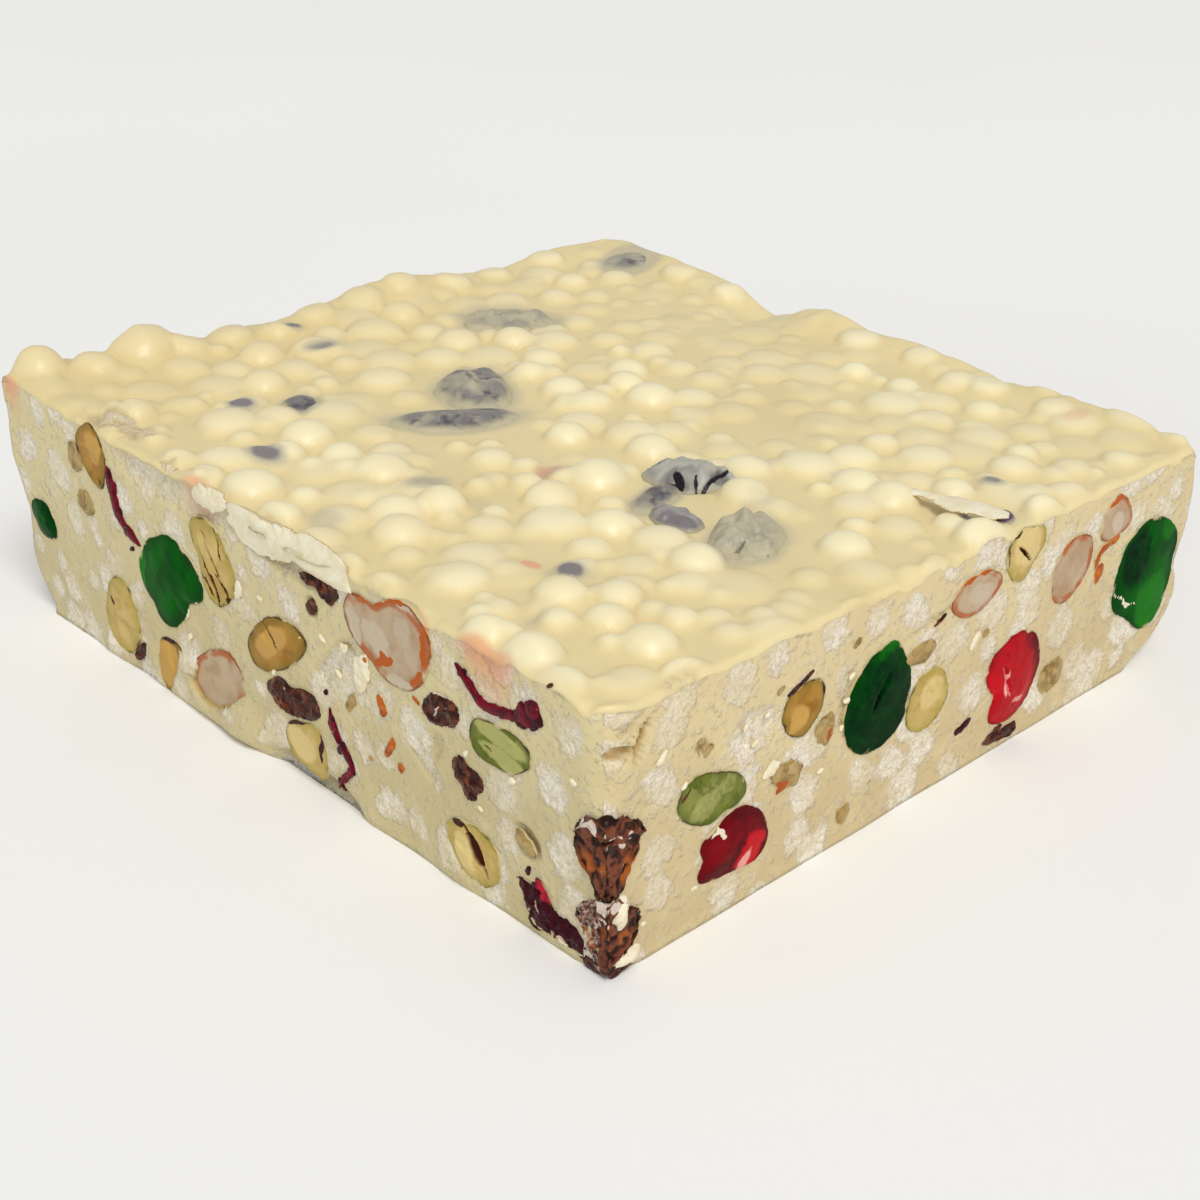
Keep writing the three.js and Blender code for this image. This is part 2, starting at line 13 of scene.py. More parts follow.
import bpy
import numpy as np
from mathutils import Matrix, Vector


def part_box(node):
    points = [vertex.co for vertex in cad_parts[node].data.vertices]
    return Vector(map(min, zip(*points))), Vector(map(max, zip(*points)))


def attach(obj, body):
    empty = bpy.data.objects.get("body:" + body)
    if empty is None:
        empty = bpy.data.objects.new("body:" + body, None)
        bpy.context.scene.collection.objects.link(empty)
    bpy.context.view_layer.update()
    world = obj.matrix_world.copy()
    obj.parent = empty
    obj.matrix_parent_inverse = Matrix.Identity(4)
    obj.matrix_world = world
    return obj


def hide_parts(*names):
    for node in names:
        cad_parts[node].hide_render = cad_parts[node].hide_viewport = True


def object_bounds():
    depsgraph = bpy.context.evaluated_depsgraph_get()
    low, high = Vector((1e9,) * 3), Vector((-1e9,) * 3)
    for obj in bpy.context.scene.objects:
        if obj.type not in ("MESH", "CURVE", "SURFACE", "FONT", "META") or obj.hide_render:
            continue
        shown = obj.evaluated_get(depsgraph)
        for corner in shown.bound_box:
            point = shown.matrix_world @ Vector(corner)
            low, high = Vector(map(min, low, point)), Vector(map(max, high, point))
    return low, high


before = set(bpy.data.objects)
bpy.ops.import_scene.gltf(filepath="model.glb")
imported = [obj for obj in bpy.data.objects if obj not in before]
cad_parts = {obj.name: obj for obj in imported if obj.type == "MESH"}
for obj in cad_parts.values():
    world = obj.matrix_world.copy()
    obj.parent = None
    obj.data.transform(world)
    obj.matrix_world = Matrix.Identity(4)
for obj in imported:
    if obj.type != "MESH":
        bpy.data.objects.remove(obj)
CAD_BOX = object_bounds()

LOG = logging.getLogger("white_christmas")
MM = 0.001
# How far the front corner's foot stands in from the box's own left side.
FOOT_INSET = 0.51
FRONT_CORNER = np.array([CAD_BOX[0].x / MM + FOOT_INSET, CAD_BOX[0].y / MM, 0.0])
# The slab's plan: where the two cuts end, and the lines of the two tray sides.
LENGTH_X, LENGTH_Y = 116.0, 129.5
RIGHT_STEP, LEFT_STEP = 2.4, -0.5
FAR_X, FAR_Y = 117.0, 128.0

Array = np.ndarray
Colour = tuple[float, float, float]
Paint = tuple[float, float, float, float]
Number = Union[float, int, Array]


# ---- Shared sums ------------------------------------------------------------------------------------


def ease(low: float, high: float, value: Number) -> Array:
    """Gives 0 below low, 1 above high, and an even ease between them."""
    share = np.clip((np.asarray(value, float) - low) / (high - low), 0.0, 1.0)
    return share * share * (3.0 - 2.0 * share)


def hump(value: Number, middle: float, reach: float) -> Array:
    """Gives 1 at the middle, falling to nearly nothing past the reach on either side."""
    return np.exp(-(((np.asarray(value, float) - middle) / reach) ** 2))


def chance(a: Number, b: Number, c: Number) -> Array:
    """Gives a repeatable number from 0 to 1 for each set of the numbers a, b and c."""
    wave = np.sin(np.asarray(a) * 12.9898 + np.asarray(b) * 78.233 + np.asarray(c) * 37.719) * 43758.5453
    return wave - np.floor(wave)


def lattice_noise(points: Array, size: float, seed: float = 0.0) -> Array:
    """Smooth noise: a chance value at each corner of cubes, eased across every cube.

    Args:
        points: places, with x, y and z along the last axis.
        size: side of the cubes.
        seed: picks another pattern.

    Returns:
        One number from -1 to 1 for each place.
    """
    cell = points / size
    low = np.floor(cell)
    share = cell - low
    share = share * share * (3.0 - 2.0 * share)
    total = np.zeros(points.shape[:-1])
    for corner in np.ndindex(2, 2, 2):
        step = np.array(corner)
        weight = np.prod(np.where(step, share, 1.0 - share), axis=-1)
        at = low + step
        total += weight * chance(at[..., 0] + seed * 7.3, at[..., 1] - seed * 3.1, at[..., 2] + seed)
    return 2.0 * total - 1.0


def rough_noise(points: Array, size: float, seed: float = 0.0, layers: int = 3) -> Array:
    """Sums layers of lattice noise, each half as large and half as strong as the one before.

    Args:
        points: places, with x, y and z along the last axis.
        size: side of the first layer's cubes.
        seed: picks another pattern.
        layers: how many are summed.

    Returns:
        One number from about -1 to 1 for each place.
    """
    total = np.zeros(points.shape[:-1])
    for layer in range(layers):
        total += lattice_noise(points, size / 2**layer, seed + 5.0 * layer) / 2**layer
    return total / (2.0 - 0.5 ** (layers - 1))


def creases(points: Array, size: float, seed: float = 0.0) -> Array:
    """Folds of a dried fruit: 1 along winding ridges and 0 in the valleys, from the noise's crossings."""
    return 1.0 - np.clip(np.abs(rough_noise(points, size, seed, 3)) * 3.4, 0.0, 1.0)


def through(knots: Sequence[Array], f: Array) -> Array:
    """The Catmull-Rom curve through four knots in a row, at a share f of the way from the second to the third."""
    a, b, c, d = knots
    return 0.5 * (2 * b + (c - a) * f + (2 * a - 5 * b + 4 * c - d) * f**2 + (3 * b - a - 3 * c + d) * f**3)


def closed_curve(radii: Sequence[float], angles: Array) -> Array:
    """A closed Catmull-Rom curve through radii that stand at even steps round a circle.

    Args:
        radii: the radii, the first at angle nought.
        angles: where the curve is wanted.

    Returns:
        The radius at each angle.
    """
    r = np.asarray(radii, float)
    place = angles / (2.0 * math.pi) * len(r)
    low = np.floor(place).astype(int)
    return through([r[(low + k) % len(r)] for k in (-1, 0, 1, 2)], place - low)


def oval_radii(length: float, width: float, tilt: float, lumps: float, seed: float) -> tuple[float, ...]:
    """Radii of an uneven oval at sixteen even angles.

    Args:
        length: the long diameter.
        width: the short diameter.
        tilt: angle of the long diameter in degrees.
        lumps: how far the radii stray, as a share.
        seed: picks the lumps.

    Returns:
        Sixteen radii, the first along the face and the rest anticlockwise.
    """
    angles = np.arange(16) * math.pi / 8.0
    turned = angles - math.radians(tilt)
    oval = 1.0 / np.sqrt((np.cos(turned) * 2 / length) ** 2 + (np.sin(turned) * 2 / width) ** 2)
    waves = 0.6 * np.sin(2 * turned + seed) + 0.4 * np.sin(3 * turned + 2 * seed)
    waves += 0.3 * np.sin(5 * turned + 3 * seed)
    return tuple(oval * (1.0 + lumps * waves))


def smoothed(grid: Array) -> Array:
    """Averages each height of a grid with its four neighbours: half its own, an eighth of each of theirs."""
    wide = np.pad(grid, 1, mode="edge")
    return 0.5 * grid + 0.125 * (wide[:-2, 1:-1] + wide[2:, 1:-1] + wide[1:-1, :-2] + wide[1:-1, 2:])


def oval_share(a: Array, b: Array, middle: Sequence[float], reach: Sequence[float], tilt: float) -> Array:
    """Tells how far out of a tilted oval's middle places are.

    Args:
        a: the places' first measures.
        b: their second measures.
        middle: the oval's middle in the same measures.
        reach: half its length and half its width.
        tilt: the angle of its length in degrees.

    Returns:
        0 in the middle, 1 on the edge and more outside it.
    """
    turn = math.radians(tilt)
    a, b = a - middle[0], b - middle[1]
    along = (a * math.cos(turn) + b * math.sin(turn)) / reach[0]
    across = (b * math.cos(turn) - a * math.sin(turn)) / reach[1]
    return np.hypot(along, across)


def strongest(start: Array, found: Iterable[Array]) -> Array:
    """Takes the largest number at each place.

    Args:
        start: one number for each place.
        found: more arrays of the same shape.

    Returns:
        The largest of them all, place by place.
    """
    for each in found:
        start = np.maximum(start, each)
    return start


def name_seed(name: str, most: int) -> float:
    """A number from 0 up to most that sets a piece's unevenness apart from the others', from its name."""
    return float(sum(ord(letter) for letter in name) % most)


# ---- Meshes -----------------------------------------------------------------------------------------


def grid_faces(index: Array, closed: bool = False) -> Array:
    """Four-cornered faces of a grid of vertices.

    Args:
        index: vertex numbers, one row of the grid to a row.
        closed: whether each row joins up with its own start.

    Returns:
        One face to a row, which faces the side that sees rows run outwards and columns anticlockwise.
    """
    after = np.roll(index, -1, axis=1)
    if not closed:
        index, after = index[:, :-1], after[:, :-1]
    return np.stack([index[:-1], index[1:], after[1:], after[:-1]], -1).reshape(-1, 4)


def fan_faces(middle: int, ring: Array, inward: bool = False) -> Array:
    """Three-cornered faces from a middle vertex to a closed ring.

    Args:
        middle: the middle vertex's number.
        ring: the ring's vertex numbers.
        inward: whether the faces are turned over.

    Returns:
        One face to a row.
    """
    after = np.roll(ring, -1)
    centre = np.full_like(ring, middle)
    return np.stack([centre, after, ring] if inward else [centre, ring, after], -1)


def body_faces(rows: int, around: int) -> list[Array]:
    """Faces of a closed body: a first pole, rings of vertices, each joined to the next, and a last pole.

    Args:
        rows: how many rings.
        around: how many vertices a ring has.

    Returns:
        The first fan, the rings' faces and the last fan.
    """
    index = 1 + np.arange(rows * around).reshape(rows, around)
    return [fan_faces(0, index[0]), grid_faces(index, True), fan_faces(rows * around + 1, index[-1], True)]


@dataclass
class Shell:
    """Points in the slab's axes, the faces between them, and a number for each point under each name."""

    points: Array
    faces: list[Array]
    values: dict[str, Array] = field(default_factory=dict)

    @staticmethod
    def joined(shells: Sequence["Shell"]) -> "Shell":
        """Puts several shells into one.

        Args:
            shells: the shells, all with the same names of numbers.

        Returns:
            One shell, in which each is still closed on its own.
        """
        points, faces, first = [], [], 0
        for shell in shells:
            points.append(shell.points)
            faces += [part + first for part in shell.faces]
            first += len(shell.points)
        names = shells[0].values.keys()
        values = {name: np.concatenate([shell.values[name] for shell in shells]) for name in names}
        return Shell(np.concatenate(points), faces, values)

    def build(self, name: str, material: bpy.types.Material, stands_for: Sequence[str], slot: str) -> None:
        """Makes the shell an object that rides on the slab's body, with nothing below the slab's foot.

        Args:
            name: the object's name.
            material: its finish.
            stands_for: the solid nodes that it replaces.
            slot: not used.
        """
        mesh = bpy.data.meshes.new(name)
        faces = [face for part in self.faces for face in part.tolist()]
        points = np.column_stack([self.points[:, :2], np.maximum(self.points[:, 2], 0.0)])
        mesh.from_pydata(((points + FRONT_CORNER) * MM).tolist(), [], faces)
        mesh.polygons.foreach_set("use_smooth", np.ones(len(faces), bool))
        for key, numbers in self.values.items():
            layer = mesh.attributes.new(key, "FLOAT", "POINT")
            layer.data.foreach_set("value", np.asarray(numbers, np.float32).ravel())
        mesh.materials.append(material)
        mesh.update()
        piece = bpy.data.objects.new(name, mesh)
        bpy.context.collection.objects.link(piece)
        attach(piece, "root")
        if stands_for:
            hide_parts(*stands_for)
        LOG.info("%s: %d faces, stands for %d nodes", name, len(faces), len(stands_for))


# ---- Where things are -------------------------------------------------------------------------------


class Side(Enum):
    """A side of the slab that pieces show in."""

    LEFT = "left-hand cut"
    RIGHT = "right-hand cut"
    FAR = "tray side past the right-hand cut"
    BACK = "tray side past the left-hand cut"
    TOP = "top"


LEFT, RIGHT, FAR, BACK, TOP = Side


@dataclass(frozen=True)
class Facing:
    """The three directions of a face as the eye in front of it sees them."""

    right: Array
    rise: Array
    outward: Array

    def shift(self, a: Array, b: Array, out: Array) -> Array:
        """Steps of a to the right, b up and out towards the eye."""
        return a[..., None] * self.right + b[..., None] * self.rise + out[..., None] * self.outward


@dataclass(frozen=True)
class Wall:
    """An upright side: its start, its end, and the sense in which its own right-hand direction runs."""

    start: tuple[float, float]
    end: tuple[float, float]
    sense: int

    @property
    def run(self) -> Array:
        """The direction from start to end."""
        step = np.array([self.end[0] - self.start[0], self.end[1] - self.start[1], 0.0])
        return step / np.linalg.norm(step)

    @property
    def facing(self) -> Facing:
        """The wall's directions: to the right, up, and right turned a quarter towards the eye."""
        right = self.run * self.sense
        return Facing(right, np.array([0.0, 0.0, 1.0]), np.array([right[1], -right[0], 0.0]))

    def place(self, along: float, up: float) -> Array:
        """The point at a distance along the wall from its start and at a height."""
        return np.array([self.start[0], self.start[1], up]) + along * self.run

    def measure(self, points: Array) -> tuple[Array, Array]:
        """How far along the wall points are, and how far out from it."""
        offset = points - np.array([self.start[0], self.start[1], 0.0])
        return offset @ self.run, offset @ self.facing.outward


WALLS = {
    LEFT: Wall((0.0, 0.0), (LEFT_STEP, LENGTH_Y), -1),
    RIGHT: Wall((0.0, 0.0), (LENGTH_X, RIGHT_STEP), 1),
    FAR: Wall((FAR_X, RIGHT_STEP), (FAR_X, FAR_Y), 1),
    BACK: Wall((LEFT_STEP, LENGTH_Y), (FAR_X, FAR_Y), -1),
}
UPWARD = Facing(np.array([1.0, 0.0, 0.0]), np.array([0.0, 1.0, 0.0]), np.array([0.0, 0.0, 1.0]))


@dataclass(frozen=True)
class Puffs:
    """Rice puffs under the top's skin, as arrays of places, radii and heights."""

    x: Array
    y: Array
    radius: Array
    height: Array


@dataclass(frozen=True)
class SlabForm:
    """The slab's outline, its level, its puffs and how its sides lean."""

    heights: tuple[float, float, float, float] = (34.5, 31.0, 37.0, 34.0)
    set_corners: tuple[tuple[float, float, float], ...] = (
        (-4.0, -4.0, 1.0), (117.0, -1.6, 8.0), (-4.5, 129.5, 1.0), (117.0, 128.0, 7.0))
    columns: int = 27
    rows: int = 33
    stagger: float = 0.25
    spread: float = 1.5
    bare_share: float = 0.14
    berth: float = 1.6
    rim_step: float = 4.0
    rim_hold: float = 0.85
    rim_drop: float = 0.6
    # Puffs that stand out: x, y, radius, height.
    proud: tuple[tuple[float, ...], ...] = (
        (3, 15.5, 3.7, 2.7), (4.3, 127.4, 3.7, 3.3), (20.5, 127.5, 4.9, 3.6), (11.6, 124.6, 3.2, 1.9),
        (11.5, 50.5, 3.8, 2.5), (21, 54.5, 3.4, 2.6), (33, 46.5, 3.6, 2.7), (33.5, 35.5, 3.3, 2.3),
        (34.5, 21, 3.5, 2.4), (5.5, 75, 4, 2.3), (52, 12, 3.4, 2.2), (27, 124.5, 3.2, 2.6), (35.5, 126, 3.4, 2.8),
        (43, 124, 3, 2.4), (51.5, 126, 3.2, 2.6), (60, 124.6, 3.4, 2.8), (69, 125.8, 3, 2.4), (79, 124.4, 3.2, 2.6),
        (89, 125.6, 2.9, 2.2), (100, 124.6, 3.2, 2.2), (112.5, 103.5, 3.2, 2.2), (113, 92, 3, 2), (112, 62, 3.4, 2),
        (113, 50, 3, 1.8), (112, 36, 3.2, 2), (112, 24, 3, 1.6))
    # Slow rises and dips: x, y, reach along X, reach along Y, rise.
    swells: tuple[tuple[float, ...], ...] = (
        (10, 131, 17, 12, 1.6), (67, 131, 9, 8, 2.2), (90, 129, 6, 6, -0.8), (114, 112, 16, 18, 1),
        (118, 84, 10, 4.5, -3.6), (118, 72, 8, 5, 1.2), (72, 8, 7, 3, -0.8))
    # How high the back and far rims stand over the corners' own level, at every rim_step along X or Y.
    back_rim: tuple[float, ...] = (
        2.7, 5.2, 5.6, 3.0, 2.6, 5.4, 4.7, 2.1, 1.4, 1.8, 1.8, 1.3, 1.7, 2.0, 2.7, 3.5, 4.1, 4.3, 4.1, 3.3, 2.2,
        2.0, 1.2, 1.1, 1.7, 2.2, 2.6, 2.2, 2.0, 2.2)
    far_rim: tuple[float, ...] = (
        0.2, 0.4, 1.1, 2.0, 2.4, 2.5, 2.3, 2.0, 1.8, 1.1, 1.9, 2.1, 2.4, 2.6, 2.7, 2.2, 2.1, 2.9, 3.2, 2.2, 0.4,
        -1.0, -0.3, 1.9, 2.3, 2.7, 2.6, 2.9, 3.0, 3.0, 3.3, 3.1, 2.3)
    # Where the right-hand and left-hand cuts end at each height above the foot.
    right_end: tuple[tuple[float, ...], tuple[float, ...]] = (
        (0, 1.5, 3, 6, 9, 11.5, 14, 17, 20, 25, 31), (-12.5, -10.6, -6, -2, -0.4, -0.8, -1.8, -0.6, 0.7, 1, 0.6))
    left_end: tuple[tuple[float, ...], tuple[float, ...]] = (
        (0, 2, 5, 9, 13, 17, 21, 25, 30, 36, 39), (-3, -2.1, -0.2, 1, 0.6, 0.2, 2, 3.4, 3.1, 3.4, 3))

    def blend(self, corners: Sequence[float], s: Array, t: Array) -> Array:
        """Blends the values of the front, right, left and back corners by shares along X and along Y."""
        front, right, left, back = corners
        return (front * (1 - s) + right * s) * (1 - t) + (left * (1 - s) + back * s) * t

    def plane(self, x: Array, y: Array) -> Array:
        """The twisted plane between the four corners' heights."""
        return self.blend(self.heights, np.clip(x / LENGTH_X, 0, 1), np.clip(y / LENGTH_Y, 0, 1))

    def set_plan(self, s: Array, t: Array) -> tuple[Array, Array]:
        """Finds places on the slab as it set, before it was cut.

        Near a corner, its square is carried onto a quarter disc, as the corner is rounded.

        Args:
            s: shares of the way along X.
            t: shares of the way along Y.

        Returns:
            x and y of each place.
        """
        front, right, left, back = self.set_corners
        length_x, length_y = right[0] - front[0], left[1] - front[1]
        from_left, from_front = s < 0.5, t < 0.5
        near = np.where(from_left, front[2], right[2])
        radius = np.where(from_front, near, np.where(from_left, left[2], back[2]))
        run_x = np.where(from_left, s, 1 - s) * length_x
        run_y = np.where(from_front, t, 1 - t) * length_y
        rounded = (run_x < radius) & (run_y < radius)
        p, q = np.clip(1 - run_x / radius, 0, 1), np.clip(1 - run_y / radius, 0, 1)
        share_x = np.where(rounded, radius * (1 - p * np.sqrt(1 - q * q / 2)), run_x) / length_x
        share_y = np.where(rounded, radius * (1 - q * np.sqrt(1 - p * p / 2)), run_y) / length_y
        share_x = np.where(from_left, share_x, 1 - share_x)
        share_y = np.where(from_front, share_y, 1 - share_y)
        xs = [corner[0] for corner in self.set_corners]
        ys = [corner[1] for corner in self.set_corners]
        return self.blend(xs, share_x, share_y), self.blend(ys, share_x, share_y)

    def crowding(self, x: Array, y: Array) -> Array:
        """How crowded with puffs a place is, from 0.2 in a smooth pool to 1."""
        pools = np.sin(2.1 * x / 21.0 + 0.8) * np.cos(1.7 * y / 21.0 - 0.6)
        return np.clip(0.85 + 0.3 * pools - 0.55 * ease(58, 104, x) * ease(12, 62, y), 0.2, 1.0)

    def puffs(self, keep_clear: Array) -> Puffs:
        """Every puff: one at each third place of a staggered lattice, and the ones that stand out.

        Args:
            keep_clear: rows of x, y and radius where no puff rises.

        Returns:
            The puffs.
        """
        i, j = np.meshgrid(np.arange(self.columns + 1), np.arange(self.rows + 1))
        odd = j % 2
        third = ((i - (j - odd) // 2 - j) % 3) == 0
        keep = third & (chance(i, j, 1) >= self.bare_share)
        i, j, odd = i[keep], j[keep], odd[keep]
        at_edge = (i == 0) | (i == self.columns)
        stagger = np.where(at_edge, 0.0, np.where(odd == 0, -self.stagger, self.stagger))
        x, y = self.set_plan((i + stagger) / self.columns, j / self.rows)
        x = x + (chance(i, j, 2) - 0.5) * 2 * self.spread
        y = y + (chance(i, j, 3) - 0.5) * 2 * self.spread
        proud = np.array(self.proud, float)
        near = np.hypot(x[:, None] - proud[:, 0], y[:, None] - proud[:, 1]) < proud[:, 2] + self.berth
        over = np.hypot(x[:, None] - keep_clear[:, 0], y[:, None] - keep_clear[:, 1]) < keep_clear[:, 2]
        free = ~(near.any(1) | over.any(1))
        i, j, x, y = i[free], j[free], x[free], y[free]
        height = (1.0 + 1.7 * chance(i, j, 4)) * self.crowding(x, y)
        radius = 2.5 + 1.2 * chance(i, j, 5)
        return Puffs(*(np.concatenate(pair) for pair in zip((x, y, radius, height), proud.T)))

    def level(self, x: Array, y: Array) -> Array:
        """The chocolate's own level, without its puffs: a twisted plane with slow swells.

        Args:
            x: places along X.
            y: places along Y.

        Returns:
            The height at each.
        """
        total = self.plane(x, y)
        for middle_x, middle_y, reach_x, reach_y, rise in self.swells:
            total = total + rise * hump(x, middle_x, reach_x) * hump(y, middle_y, reach_y)
        return total

    def rim(self, x: Array, y: Array, height: Array, domes: Array) -> tuple[Array, Array]:
        """Brings the top near the back and far sides to the heights that their rims have.

        Args:
            x: places along X.
            y: places along Y.
            height: the level there.
            domes: the puffs' rise there.

        Returns:
            The level and the rise, which sum to the rim's height at the rim itself.
        """
        to_back, to_far = 129.3 - 0.013 * x - y, FAR_X - x
        steps = self.rim_step * np.arange(max(len(self.back_rim), len(self.far_rim)))
        back = np.interp(x, steps[:len(self.back_rim)], self.back_rim)
        far = np.interp(y, steps[:len(self.far_rim)], self.far_rim)
        share_back, share_far = (self.rim_hold * (1 - ease(1.0, 9.0, away)) for away in (to_back, to_far))
        share_back = share_back * ease(9.0, 26.0, x)
        share_far = share_far * ease(2.0, 12.0, y)
        near_far = share_far / (share_back + share_far + 1e-6)
        wanted = self.plane(x, y) + back * (1 - near_far) + far * near_far - self.rim_drop
        share = np.maximum(share_back, share_far)
        kept = domes * (1 - 0.45 * share)
        return height * (1 - share) + (wanted - 0.5 * kept) * share, kept

    def soften(self, points: Array) -> Array:
        """Rounds the front corner's upright edge: its square is carried onto a quarter disc.

        The radius grows from the raisins' height up to the top.

        Args:
            points: places on or in the slab.

        Returns:
            How far each is carried.
        """
        radius = 1.4 + 3.4 * ease(18.0, 28.0, points[..., 2])
        p = np.clip(1 - points[..., 0] / radius, 0, 1)
        q = np.clip(1 - points[..., 1] / radius, 0, 1)
        within = (p > 0) & (q > 0)
        x = radius * (1 - p * np.sqrt(1 - q * q / 2))
        y = radius * (1 - q * np.sqrt(1 - p * p / 2))
        carried = np.stack([x - points[..., 0], y - points[..., 1], np.zeros_like(x)], -1)
        return np.where(within[..., None], carried, 0.0)

    def lean(self, points: Array) -> Array:
        """Draws the slab's two far corners out and in along the cuts, as their ends lean.

        Args:
            points: places on or in the slab.

        Returns:
            How far each is carried: all the way at the corner, fading to nothing round it.
        """
        from_right = np.hypot(points[..., 0] - LENGTH_X, points[..., 1] - RIGHT_STEP)
        right = np.interp(points[..., 2], *self.right_end) * (1 - ease(3, 26, from_right))
        near_left = (1 - ease(0, 24, points[..., 0])) * ease(110, 129, points[..., 1])
        left = np.interp(points[..., 2], *self.left_end) * near_left
        return right[..., None] * WALLS[RIGHT].run + left[..., None] * WALLS[LEFT].run


# ---- Fruit and nuts in the cut faces ----------------------------------------------------------------


@dataclass(frozen=True)
class Streak:
    """A slit, crack, fold or wisp on a morsel, straight from one place on the face to another."""

    start: tuple[float, float]
    end: tuple[float, float]
    width: float
    depth: float = 0.0

    def nearness(self, along: Array, up: Array) -> Array:
        """Tells how near places are to the streak's line, which tapers towards its ends.

        Args:
            along: distances along the side.
            up: heights.

        Returns:
            1 on the line, easing to 0 about half its width to either side.
        """
        (x0, z0), (x1, z1) = self.start, self.end
        length = math.hypot(x1 - x0, z1 - z0)
        share = np.clip(((along - x0) * (x1 - x0) + (up - z0) * (z1 - z0)) / length**2, 0.0, 1.0)
        away = np.hypot(along - x0 - share * (x1 - x0), up - z0 - share * (z1 - z0))
        half = 0.5 * self.width * (0.35 + 0.65 * np.sqrt(np.clip(4 * share * (1 - share), 0.0, 1.0)))
        return 1.0 - ease(0.45, 1.15, away / half)


@dataclass(frozen=True)
class Patch:
    """A patch of another tone on a morsel: an oval with soft, uneven edges."""

    at: tuple[float, float]
    reach: tuple[float, float]
    tilt: float = 0.0
    strength: float = 1.0

    def nearness(self, along: Array, up: Array) -> Array:
        """The strength in the middle of the oval, easing to 0 just past its edge."""
        share = oval_share(along, up, self.at, self.reach, self.tilt)
        return self.strength * (1.0 - ease(0.7, 1.25, share))


Mark = Union[Streak, Patch]


